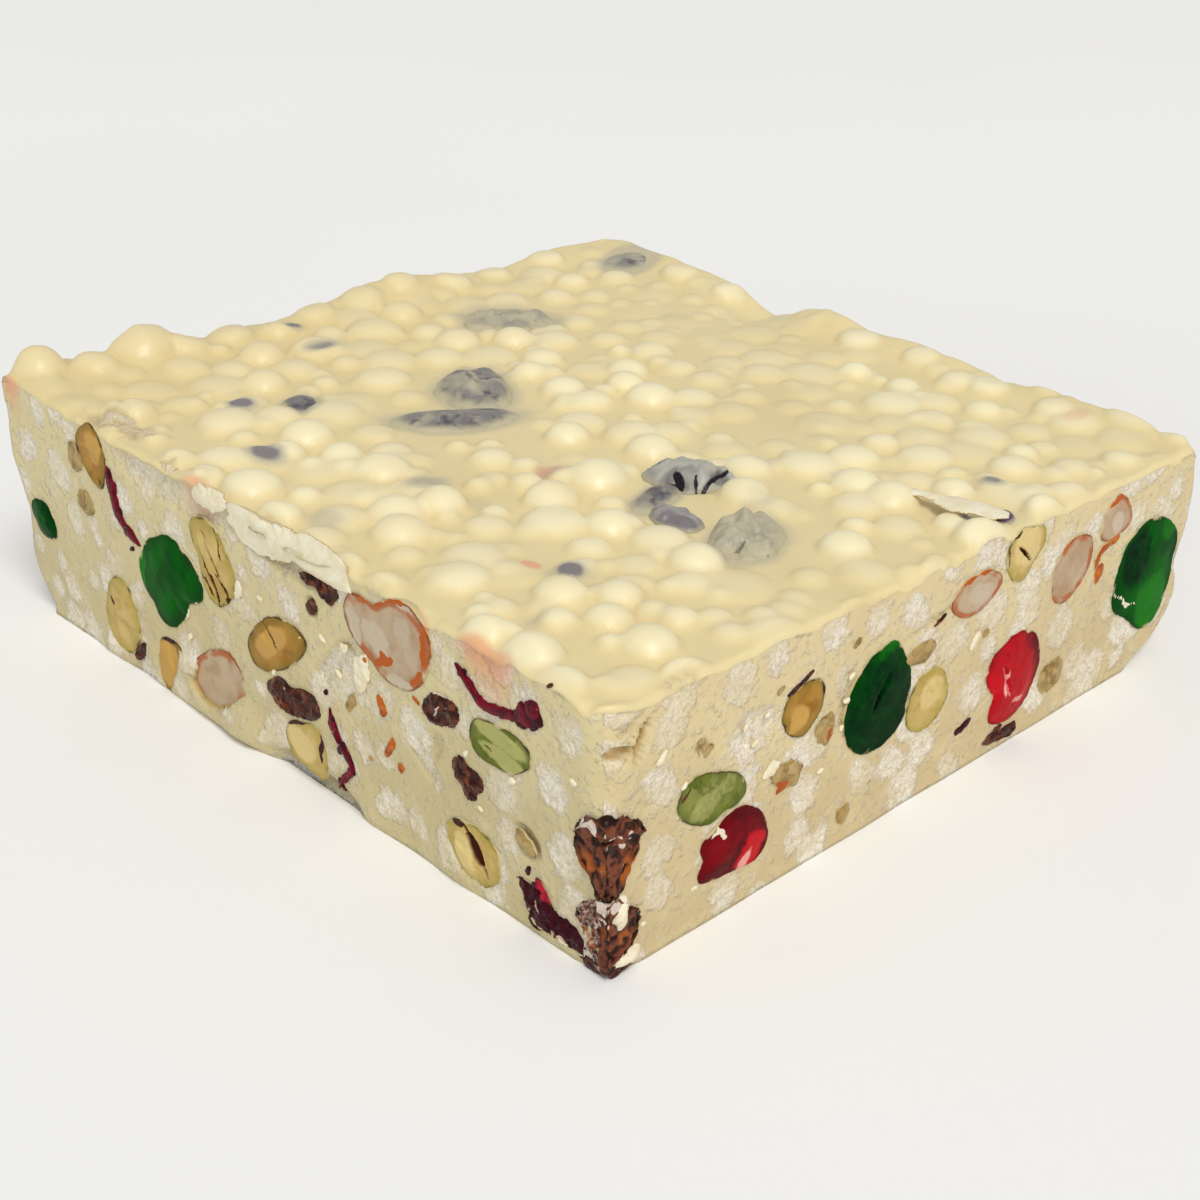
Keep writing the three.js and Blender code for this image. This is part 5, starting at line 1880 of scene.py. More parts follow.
CUT_MORSELS: tuple[Morsel, ...] = (
    Pistachio("pistachio_corner_amber", LEFT, 107.4, 32.6,
        (4.1, 4, 4.1, 4.6, 4.8, 4.3, 4.3, 4.3, 4.3, 3.8, 3.8, 4, 4.9, 5, 4.1, 3.8), slot="amber_pistachio",
        skins=(Streak((104.2, 36), (103, 31), 0.6), Streak((110.6, 28.6), (111.4, 33), 0.7)),
        slits=(Streak((106.8, 30.6), (105.6, 28.4), 0.35, 0.3),), tones=(Patch((106.6, 34), (2, 2.6), 10, 0.8),)),
    Chip("pistachio_corner_olive", LEFT, 112.5, 30.7,
        (2.1, 2.2, 2.2, 2.3, 2.4, 2.3, 2.2, 2.1, 2, 2.3, 2.2, 2.4, 2.4, 2.2, 2.2, 2.1)),
    Chip("pistachio_bit_olive", LEFT, 111.2, 23.9,
        (2.2, 2.2, 2, 2, 1.9, 2, 2.1, 2.1, 2.2, 2.2, 2, 2, 1.9, 2, 2.1, 2.3)),
    Cherry("cherry_green_end", LEFT, 125.2, 16.6,
        (3.4, 3.2, 3.2, 3.1, 3.1, 3.1, 3.6, 3.9, 3.7, 3, 3.1, 3.1, 3.1, 3.3, 3.6, 3.8), slot="green_cherry",
        skins=(Patch((125, 16.4), (4.4, 4.4), 0, 0.7),), tones=(Patch((126.2, 18), (2.4, 0.5), 40, 0.9),
        Patch((124.6, 15.6), (2.2, 0.4), 40, 0.8))),
    Cherry("cherry_green_bright", LEFT, 89.5, 19.1,
        (8.5, 9, 8, 7.5, 6.9, 6.3, 6.6, 6.9, 7.8, 8, 7.5, 8.3, 7.5, 6.1, 6, 5.3), slot="green_cherry",
        tones=(Patch((96.6, 19.8), (1.3, 7), 8, 0.9), Patch((91.5, 26), (2.8, 0.9), -12, 0.6)),
        skins=(Patch((84, 24), (1.6, 4), 20, 0.5),), wisps=(Streak((82, 18), (85.6, 13), 2.4),
        Streak((81.6, 15), (83.4, 11.4), 2.6))),
    Pistachio("pistachio_cracked", LEFT, 77.2, 26.1,
        (5, 4.5, 4.7, 5.3, 5.9, 6.4, 6.6, 5.3, 3.6, 3.7, 4.5, 5.9, 6.5, 6, 5.7, 5.3),
        slits=(Streak((80.6, 27.6), (78.4, 24.2), 0.7, 0.7), Streak((78.6, 24.8), (76.4, 19.8), 0.9, 0.8),
        Streak((79.4, 30), (75.6, 24.6), 0.6, 0.5), Streak((76.2, 31.6), (74.8, 27), 0.45, 0.3),
        Streak((76.4, 24.6), (73.8, 21.4), 0.7, 0.5), Streak((80.2, 23.2), (77.8, 20.6), 0.6, 0.5)),
        skins=(Patch((73.3, 20.9), (1.5, 0.8), 30), Patch((79.2, 19.5), (1.2, 0.6), 10))),
    Pistachio("pistachio_pale", LEFT, 104.5, 7.7,
        (4.8, 5, 5.7, 6.5, 6.5, 5.7, 4.7, 4.4, 4.7, 5, 6.1, 6.4, 6, 5.5, 4.9, 4.8),
        skins=(Patch((106.5, 10), (0.9, 0.4), 40),)),
    Raisin("raisin_shred_low", LEFT, 100.2, 3.6,
        (1.2, 1.9, 2.5, 1.8, 1.2, 1, 0.9, 1.1, 1.2, 1.7, 2.7, 1.8, 1.2, 0.9, 0.9, 0.9)),
    Pistachio("pistachio_low_amber", LEFT, 92, 4.9,
        (3.4, 4.3, 5, 4.5, 4.2, 3.9, 3.6, 3.2, 3.4, 3.7, 4.6, 5.4, 4.7, 3.3, 2.9, 3), slot="amber_pistachio",
        skins=(Patch((92.4, 9), (2.7, 0.7), 6),), tones=(Patch((92.4, 4.6), (3.6, 3.8), 20, 1),)),
    Peanut("peanut_ringed_long", LEFT, 78.9, 7.3,
        (6.3, 7.1, 7, 6.1, 4.9, 4.5, 4.5, 5.2, 6.3, 7.6, 6.9, 5.9, 5.1, 4.6, 4.8, 5.3)),
    Pistachio("pistachio_long_amber", LEFT, 63.7, 18.8,
        (5.4, 8, 6.7, 5.1, 4.1, 3.9, 3.7, 4.2, 5.4, 7.3, 7.2, 5.2, 3.9, 3.5, 3.5, 4), slot="amber_pistachio",
        tones=(Patch((64.2, 19.2), (4.6, 2), -38, 0.9),), slits=(Streak((66.4, 21.4), (62.6, 18.4), 0.2, 0.3),)),
    Raisin("raisin_wide", LEFT, 60.5, 11.9,
        (5.6, 5.4, 3.4, 2.1, 1.7, 1.8, 3.1, 4.6, 5.8, 4.7, 3.7, 2.7, 2.4, 2.5, 2.9, 4),
        skins=(Patch((63.4, 10.2), (2.2, 0.9), 10, 0.6),)),
    Peanut("peanut_broken_foot", LEFT, 58, 5.8,
        (4.3, 4.3, 4.7, 4.4, 3.7, 3.6, 4.1, 4.7, 5, 4.9, 4.3, 3.6, 3.5, 3.9, 5, 4.7), slot="pale_nut",
        skins=(Streak((66, 6.4), (58, 9.6), 1.1), Streak((54.6, 9.8), (54.8, 4.6), 1)),
        tones=(Patch((59.4, 5.6), (3.4, 2.4), 10, 1),)),
    Raisin("raisin_under_lip", LEFT, 51.9, 31.6,
        (3.5, 3.2, 1.7, 1.1, 0.9, 0.9, 1.1, 2, 4.6, 1.1, 0.6, 0.4, 0.7, 2, 2.7, 3.2)),
    Peanut("peanut_large", LEFT, 38.1, 29.5,
        (7.9, 8.5, 7.8, 6.6, 5.3, 4.7, 5, 8.6, 9.1, 7.7, 6.2, 6.2, 6.2, 6.5, 6.8, 7.3),
        skins=(Streak((43.8, 33.2), (38.6, 34.6), 1.8), Streak((38.6, 34.6), (34, 36.2), 1.2),
        Streak((31, 34.2), (31.6, 27.4), 0.9), Streak((31.8, 27), (34.6, 24.4), 1.2),
        Streak((41.4, 25.4), (38, 27.2), 1.8)), tones=(Patch((41, 28.8), (2.8, 2.2), 20, 0.9),
        Patch((35.4, 31.4), (1.6, 2.2), 0, 0.5), Patch((46, 27.6), (2.2, 3.4), 0, 1),
        Patch((34.6, 36), (3, 1.6), 0, 1), Patch((36.4, 23.6), (2.6, 1.4), 0, 1)), stray=1),
    Raisin("raisin_middle", LEFT, 28.8, 23.6,
        (3.3, 3.4, 3.1, 2.5, 2.2, 2.2, 2.3, 2.7, 3.2, 3.6, 3.2, 2.4, 2.1, 2, 2.3, 3),
        wisps=(Streak((31.2, 25.8), (27, 26), 0.9), Streak((29.8, 22.6), (28.4, 24.4), 0.4))),
    Raisin("raisin_torn", LEFT, 24.3, 16.2,
        (3, 2.7, 2.3, 1.8, 1.9, 2.7, 2.9, 3, 2.6, 2, 1.9, 2.1, 2.9, 2.7, 2.4, 2.5)),
    Pistachio("pistachio_split", LEFT, 23.7, 5.9,
        (5, 5.2, 4.7, 4.2, 4.1, 4.2, 4.9, 5.4, 4.8, 4.6, 4.5, 4.6, 4.6, 4.5, 4.6, 4.9),
        slits=(Streak((24.8, 8.2), (22.2, 4.6), 2.6, 0.9), Streak((25.6, 9.2), (21.2, 3.6), 1.2, 0.5)),
        skins=(Patch((26.6, 9.2), (1.2, 0.8), 40),), tones=(Patch((25.4, 5), (1.6, 2.8), -25, 0.9),)),
    Raisin("cranberry_front", LEFT, 10, 4,
        (6.1, 2.6, 2.2, 2.2, 2.7, 4.7, 4.4, 6, 4.5, 4.2, 4.3, 3.1, 2.7, 2.9, 4.1, 6.5), slot="cranberry",
        wisps=(Patch((7.7, 1.4), (0.9, 0.6)), Streak((12.6, 5.2), (11.4, 4), 0.4)),
        skins=(Patch((10.6, 6.8), (2.2, 0.9), 35, 0.8),)),
    Pistachio("pistachio_green_wedge", LEFT, 18, 23.2,
        (5.6, 5.5, 4, 3.1, 2.6, 2.9, 3.6, 4.8, 5.3, 5.4, 4.1, 3.2, 3, 3.2, 3.6, 4.3), slot="green_pistachio",
        slits=(Streak((20.8, 22.3), (19.6, 22), 0.5, 0.4),), tones=(Patch((17.8, 24.4), (4.8, 1.3), 6, 1),
        Patch((17.2, 21.9), (4.4, 1.2), 6, 1))),
    Pistachio("pistachio_green_front", RIGHT, 16.6, 17.4,
        (5.7, 4.3, 3.4, 3.1, 3.3, 4, 5.1, 5.7, 5.4, 4.5, 3.8, 3.6, 3.6, 3.8, 4.4, 6.2), slot="green_pistachio",
        tones=(Patch((15.6, 16.6), (3, 1.9), 18, 0.5), Patch((19.4, 18.2), (1.8, 1.3), 0, 0.4))),
    # Its skins mark is a pinkish-white painted highlight.
    Cherry("cherry_red_front", RIGHT, 20.7, 9.1,
        (5.8, 5.3, 5, 4.9, 4.8, 4.6, 4.8, 6.1, 5.4, 6.6, 5, 4, 3.9, 4.4, 5.7, 6.2), slot="red_cherry",
        wisps=(Streak((17.2, 13.2), (18.3, 10.8), 0.9), Streak((16.4, 11.4), (17.4, 12.2), 0.4)),
        tones=(Patch((23.6, 7), (2.8, 2.2), 35, 1),), skins=(Patch((22.6, 6.2), (1, 1.5), -35, 0.8),)),
    Pistachio("pistachio_amber_right", RIGHT, 32.4, 22.8,
        (3.7, 4.1, 4.1, 3.6, 3.3, 3.3, 3.7, 3.8, 3.9, 3.7, 3.7, 3.8, 3.9, 3.5, 3.4, 3.6), slot="amber_pistachio",
        skins=(Patch((31, 26.6), (3.2, 0.6), 32), Patch((35.8, 24.6), (0.5, 2.2), 10)),
        tones=(Patch((31.4, 21.8), (1.9, 1.9), 0, 0.7),)),
    Chip("peanut_chip_upper", RIGHT, 36.7, 18.1,
        (1.6, 1.8, 2.1, 2.1, 1.9, 1.9, 1.9, 2, 1.8, 1.7, 1.8, 1.9, 2.4, 2.1, 1.8, 1.6)),
    Chip("peanut_chip_lower", RIGHT, 29.8, 14.7,
        (2.8, 2.1, 1.9, 2, 1.8, 1.9, 2.4, 3.3, 2.6, 2.2, 1.8, 1.7, 1.8, 2.1, 3, 2.7),
        skins=(Patch((28.6, 13.4), (1.5, 0.7), 10),)),
    Cherry("cherry_green_dark", RIGHT, 46.7, 18.1,
        (6.3, 6.5, 6.6, 7.8, 7.3, 6.8, 6.3, 6.2, 6.5, 6.8, 7.2, 7.3, 7.1, 7.1, 6.9, 6.4), slot="green_cherry",
        slits=(Streak((45.2, 17.2), (48.4, 21.4), 1, 0.7),), skins=(Patch((46.7, 17), (7.4, 8.6), 0, 0.85),),
        tones=(Patch((48.4, 24.8), (2.6, 1.4), 10, 0.8), Patch((43.2, 13.4), (1.2, 2.6), 20, 0.5))),
    Pistachio("pistachio_sliver", RIGHT, 54.9, 21.6,
        (2.9, 2.5, 1.8, 1.5, 1.5, 1.5, 1.8, 2.3, 3.2, 2.4, 1.7, 1.5, 1.5, 1.7, 1.9, 2.2), slot="nut_chip"),
    Pistachio("pistachio_tan", RIGHT, 56.7, 14.1,
        (4.4, 4.2, 4.4, 4.4, 4.4, 4.3, 4, 4, 4.2, 4.5, 4.5, 4.4, 4.2, 4.1, 4.1, 4.3),
        tones=(Patch((57.4, 15), (2.4, 2.4), 30, 0.6),)),
    Peanut("peanut_half", RIGHT, 65.8, 26.1,
        (5.4, 4.4, 3.7, 3.1, 2.9, 3, 3.5, 4.2, 5.3, 4.5, 3.6, 3.2, 2.9, 3, 3.3, 4.2),
        skins=(Streak((61, 28.4), (70.6, 29), 1), Streak((63.2, 22.4), (67.2, 22), 1)),
        tones=(Patch((66.4, 25.8), (3, 1.6), -10, 0.6),)),
    Pistachio("pistachio_notched", RIGHT, 75.8, 28.6,
        (4.3, 4.8, 4, 3.5, 3.5, 3.6, 3.8, 4.1, 4, 3.9, 4, 4.2, 4.1, 3.4, 2.9, 3.4),
        slits=(Streak((74.4, 29.8), (77, 27), 0.6, 0.7),), skins=(Patch((73.8, 32.1), (1.7, 0.5), 20),
        Streak((72, 30.6), (72.2, 27.4), 0.4)), tones=(Patch((76.2, 29.6), (3, 3.4), 20, 0.9),)),
    # Its skins marks are pinkish-white painted highlights.
    Cherry("cherry_red_middle", RIGHT, 75.2, 10,
        (6.3, 6.6, 7, 6.9, 6.6, 6.2, 6.9, 6.2, 4.8, 4.2, 6.6, 6.6, 6.4, 6.2, 6, 5.9), slot="red_cherry",
        slits=(Streak((73, 12.8), (74.5, 8), 0.7, 0.4),), tones=(Patch((74.6, 10), (6.4, 7.4), 0, 0.8),
        Patch((71.2, 10.2), (2.2, 2.8), 10, 1)), skins=(Patch((73.8, 10.2), (0.5, 2.2), -18, 0.9),
        Patch((76.8, 6.4), (1.6, 0.5), 0, 0.7))),
    Raisin("raisin_shred_foot", RIGHT, 73.9, 1.8,
        (3.6, 1.8, 1.1, 0.9, 0.8, 0.9, 1.3, 2.6, 3.8, 1.6, 0.9, 0.8, 0.8, 0.9, 1.3, 2.7)),
    Peanut("peanut_ringed_round", RIGHT, 87.3, 22.3,
        (4.6, 5, 5.2, 4.8, 4.5, 4.3, 4.2, 4.2, 4.5, 4.7, 5.2, 5.1, 4.5, 4, 4, 4.2)),
    Chip("peanut_chip_tan", RIGHT, 84.6, 6.7,
        (2.6, 2.9, 3, 2.5, 2.3, 2.3, 2.6, 2.6, 3, 2.7, 2.8, 2.5, 2.6, 2.4, 2.5, 2.5)),
    Peanut("peanut_end", RIGHT, 97.3, 26.5,
        (3.6, 3.2, 3.2, 3.3, 3.6, 3.4, 3.1, 3.2, 3.3, 3.9, 3.7, 3.1, 2.9, 2.9, 3.5, 4.1),
        skins=(Streak((94.8, 29), (100.2, 29.8), 1.1),), tones=(Patch((97.6, 25.6), (1.6, 1.8), 0, 0.7),)),
    Cherry("cherry_green_corner", RIGHT, 106.5, 14.9,
        (7.2, 8.4, 8.5, 8.5, 8.7, 8.4, 8.3, 7.8, 8.2, 8.4, 7.2, 7.4, 9, 9.5, 8.4, 7.6), slot="green_cherry",
        wisps=(Streak((98.6, 13.6), (104.6, 10.2), 0.5),), skins=(Patch((103.4, 18), (3.4, 5.4), -10, 0.9),),
        tones=(Patch((108.6, 9.8), (4.4, 5), 20, 0.9), Patch((111.6, 20.6), (1.8, 2.2), 0, 0.7))),
)

RIBBONS = (
    Ribbon("cranberry_shred_upper", LEFT, ((103.5, 32, 0.5), (103, 29.8, 1.1), (102.5, 27.4, 1.3),
        (101.9, 25.4, 0.9), (100.6, 23.9, 0.6), (98.8, 22.9, 0.8), (96.4, 21.9, 0.3))),
    Ribbon("cranberry_shred_low", LEFT, ((52.2, 14.2, 0.3), (51.7, 11.6, 0.7), (50.7, 9.8, 0.5), (49.1, 8.4, 0.8),
        (48.1, 6.6, 0.5), (49.8, 4.8, 0.5), (51.5, 2.4, 0.3))),
    Ribbon("cranberry_curl", LEFT, ((25.6, 31.3, 0.3), (23.6, 29.7, 0.6), (20.8, 27.8, 0.7), (17.6, 28.1, 0.6),
        (14.8, 28.7, 0.8), (12.6, 30, 1.7), (11.2, 31.8, 1.2))),
)

CORNER_RAISINS = (
    CornerRaisin("raisin_corner_upper", 15.8, 4.9, 5, 0.4),
    CornerRaisin("raisin_corner_lower", 5.8, 4.6, 4.2, 0.85, 0.75, pale=0.4),
)

TOP_RAISINS = (
    TopRaisin("raisin_top_long", 41.4, 76.8, 20, 8.8, -30, 1.5, 0.8, bend=1.6),
    TopRaisin("raisin_top_hooked", 51, 84, 18, 12, 58, 2.3, 0.6, wrinkle=1.3, bend=-1.2),
    TopRaisin("raisin_top_bare", 52.4, 40.2, 13, 10.2, -50, 2.2, 0, veiled=False, wrinkle=1.2, fold_size=6,
        corners=1.5, folds=(Streak((49.9, 45.6), (50.5, 43.6), 1.5), Streak((46.5, 41.6), (48.7, 38.1), 1.3),
        Streak((50, 40.6), (48.5, 37.9), 1.6), Streak((51.2, 37.9), (48.6, 35.3), 0.5),
        Streak((52.7, 45.7), (55.1, 45.3), 0.6), Streak((49.3, 35.7), (57.6, 37.1), 0.6))),
    TopRaisin("raisin_top_purple", 41.6, 31.8, 9.2, 5.8, 84, 1.5, 0.6, veiled=False, wrinkle=0.8, fold_size=5),
    TopRaisin("raisin_top_grey", 44.6, 38.6, 12, 5.6, 20, 1.1, 0.75),
    TopRaisin("raisin_top_brown", 44, 21.5, 15, 9.8, 25, 2, 0.22, wrinkle=2.2,
        folds=(Streak((32.1, 17.1), (36.3, 16.1), 1.4), Streak((42.9, 16.9), (41.5, 11.9), 0.9),
        Streak((32.5, 13.7), (35.9, 15), 0.8), Streak((41.9, 19.9), (37.7, 19.9), 0.7))),
    TopRaisin("raisin_in_flake", 75.8, 5.6, 5, 3.4, 45, 0.9, 1, veiled=False),
    TopRaisin("raisin_top_dark", 27.4, 95.4, 8, 6.2, 60, 1.3, 1),
    TopRaisin("raisin_top_back", 75.5, 105.5, 17, 12.4, -45, 1.7, 0.3, wrinkle=1.4),
    TopRaisin("raisin_top_far", 111, 114.5, 13.5, 10, 20, 1.2, 0.5),
)

HOLLOWS = (
    Hollow(LEFT, (56.5, -0.6), (10.5, 3.4), 3, torn=0.8),
    Hollow(LEFT, (84, 3), (15, 5), -1.2),
    Hollow(LEFT, (61, 32.6), (10, 1.9), 1.3, 4, torn=0.6),
    Hollow(LEFT, (60, 35.6), (11, 1.3), -1, 2),
    Hollow(LEFT, (86, 34), (14, 2.6), 0.7, 2, torn=0.9),
    Hollow(LEFT, (54.5, 27.8), (1.4, 1.1), 1.2),
    Hollow(LEFT, (0, -0.4), (4.5, 2), 2.6),
    Hollow(RIGHT, (0, -0.4), (4.5, 2), 2.6),
    Hollow(RIGHT, (6, 29.4), (3, 0.6), 1.1, 52, amber=0.85),
    Hollow(RIGHT, (2.6, 28.6), (2.2, 0.8), 1, 8, amber=0.7),
    Hollow(RIGHT, (4.4, 31.2), (1.5, 0.9), 0.6, 35, torn=0.3, amber=0.4),
    Hollow(RIGHT, (15.8, 24.6), (1, 0.8), 0.8, amber=0.5),
    Hollow(RIGHT, (14.6, 36.2), (0.9, 0.5), 0.4, amber=0.7),
    Hollow(RIGHT, (57, 25.4), (5, 0.3), 0.5, 8, amber=0.4),
    Hollow(LEFT, (13.9, 12.2), (1.6, 2.2), 0.9, -30, amber=0.3),
    Hollow(LEFT, (30.6, 17.8), (1.2, 2.6), 0.7, 30, amber=0.3),
    Hollow(LEFT, (50.4, 21.6), (6, 1.3), 0.7, -42, torn=0.8),
    Hollow(LEFT, (33, 15), (5, 1.2), 0.5, 40, torn=0.7),
    Hollow(RIGHT, (24, 23.4), (4.2, 2.2), 0.5, 10, torn=0.8),
    Hollow(RIGHT, (40.6, 20), (1.4, 5), 0.5, 0, torn=0.7),
    Hollow(LEFT, (20.5, 31.6), (6, 2.6), 0.2, torn=-1),
)

VEILS = (
    Film(12.3, 82, 2.8, 4.8, 1), Film(20, 99.5, 2.6, 2.8, 1), Film(43, 112, 4, 2.2, 0.85),
    Film(24, 61, 4.6, 3, 0.7), Film(39.5, 53.5, 4.4, 3, 0.6), Film(6.5, 60, 3, 4.4, 0.5),
    Film(20, 28, 2.4, 2.4, 1.1), Film(20, 28, 5, 4, 0.4), Film(9, 21.5, 2.5, 2, 0.45), Film(53, 28, 4, 3, 0.35),
    Film(64, 37, 3, 3, 0.35), Film(79, 40, 4, 3, 0.3), Film(82.5, 12.5, 1.9, 2.4, 0.9), Film(45.3, 123, 2, 2, 0.95),
    Film(98, 90, 4, 3, 0.3), Film(48.5, 81, 6, 5.5, 0.75, 45), Film(82, 82, 4, 3, 0.3), Film(64, 77, 4, 3, 0.3),
    Film(71, 7.5, 3.4, 1.6, 0.9, 60), Film(25, 52, 2.4, 4, 0.35),
)

STAINS = (
    Film(-0.6, 34, 2, 5, 1), Film(-0.2, 80, 2.2, 5, 0.8), Film(-0.8, 20, 2.2, 6.5, 1.1),
    Film(18.3, 33.4, 1.3, 1.8, 1.3), Film(111, 19.5, 4, 2.2, 0.5), Film(39.5, 53.5, 4, 3, 0.6),
    Film(-1.6, 127, 1.8, 4, 1.2),
)

TEARS = (
    Film(3, 103, 4.2, 13, 1), Film(1.6, 86, 2.6, 7, 1), Film(0.4, 64, 1.7, 15, 0.9), Film(0, 38, 1.5, 9, 0.8),
    Film(8, 110, 3, 4, 0.7), Film(80, 1, 9, 1.6, 0.8), Film(44, 0.6, 14, 1.2, 0.8), Film(73, 7, 4.5, 1.6, 0.8, 62),
    Film(12, 1, 5, 1.8, 0.8),
)

CUT_PUFFS = {
    LEFT: (
        (6, 30, 2.8), (9, 22, 3), (7, 13.5, 2.8), (18.5, 17, 2.6), (34.5, 18.5, 2.9), (40.5, 5, 3), (60, 26.5, 2.7),
        (77, 15, 2.9), (84, 35, 2.6), (90, 35.6, 2.8), (96, 36.4, 2.4), (100.5, 36.6, 2.2), (117.5, 36.6, 2.7),
        (122.5, 35, 2.4), (72, 33.6, 2.2), (79, 33.6, 2.4), (66, 30.6, 2.4), (114, 34.6, 2.2), (93, 31, 2.2)),
    RIGHT: (
        (11.5, 33.5, 2.8), (10, 29, 2.6), (21.5, 31, 2.8), (27.5, 31.5, 2.4), (8, 22, 2.6), (8.5, 13.5, 2.5),
        (22.5, 22.5, 3), (38, 31, 2.6), (46, 30, 2.6), (53, 28, 2.8), (33, 10.5, 2.7), (19, 3, 2.8), (44, 8, 2.4),
        (50, 7.5, 2.5), (56, 7, 2.5), (67, 11, 2.8), (86, 13.5, 2.8)),
}

# What shows on the two tray sides: node, the kind of morsel, slot, length, width, tilt.
TRAY_MORSELS: tuple[tuple[str, type[Morsel], Side, str, float, float, float], ...] = (
    ("cherry_red_far", Cherry, FAR, "red_cherry", 14.5, 12.5, 30),
    ("pistachio_far", Pistachio, FAR, "green_pistachio", 13, 7, -25),
    ("cherry_green_far", Cherry, FAR, "green_cherry", 15, 13.5, 65),
    ("cherry_green_back", Cherry, BACK, "green_cherry", 15.5, 13, 40),
    ("peanut_back", Peanut, BACK, "peanut", 14, 9, -20),
    ("cherry_red_back", Cherry, BACK, "red_cherry", 14, 12, 15),
    ("pistachio_back", Pistachio, BACK, "amber_pistachio", 12, 8, 60),
)


@dataclass(frozen=True)
class Crumbs:
    """Small bits of one kind: rows of side, distance along, height, length, width, tilt."""

    name: str
    finish: str
    slot: str
    bits: tuple[tuple[Side, float, float, float, float, float], ...]

    def shell(self) -> Shell:
        """Makes every bit, an uneven chip, and joins them.

        Returns:
            One shell with all of them.
        """
        made = []
        for number, (side, along, up, length, width, tilt) in enumerate(self.bits):
            radii = oval_radii(length, width, tilt, 0.22, 2.3 * number)
            made.append(Chip(f"{self.name}_{number}", side, along, up, radii).shell())
        return Shell.joined(made)


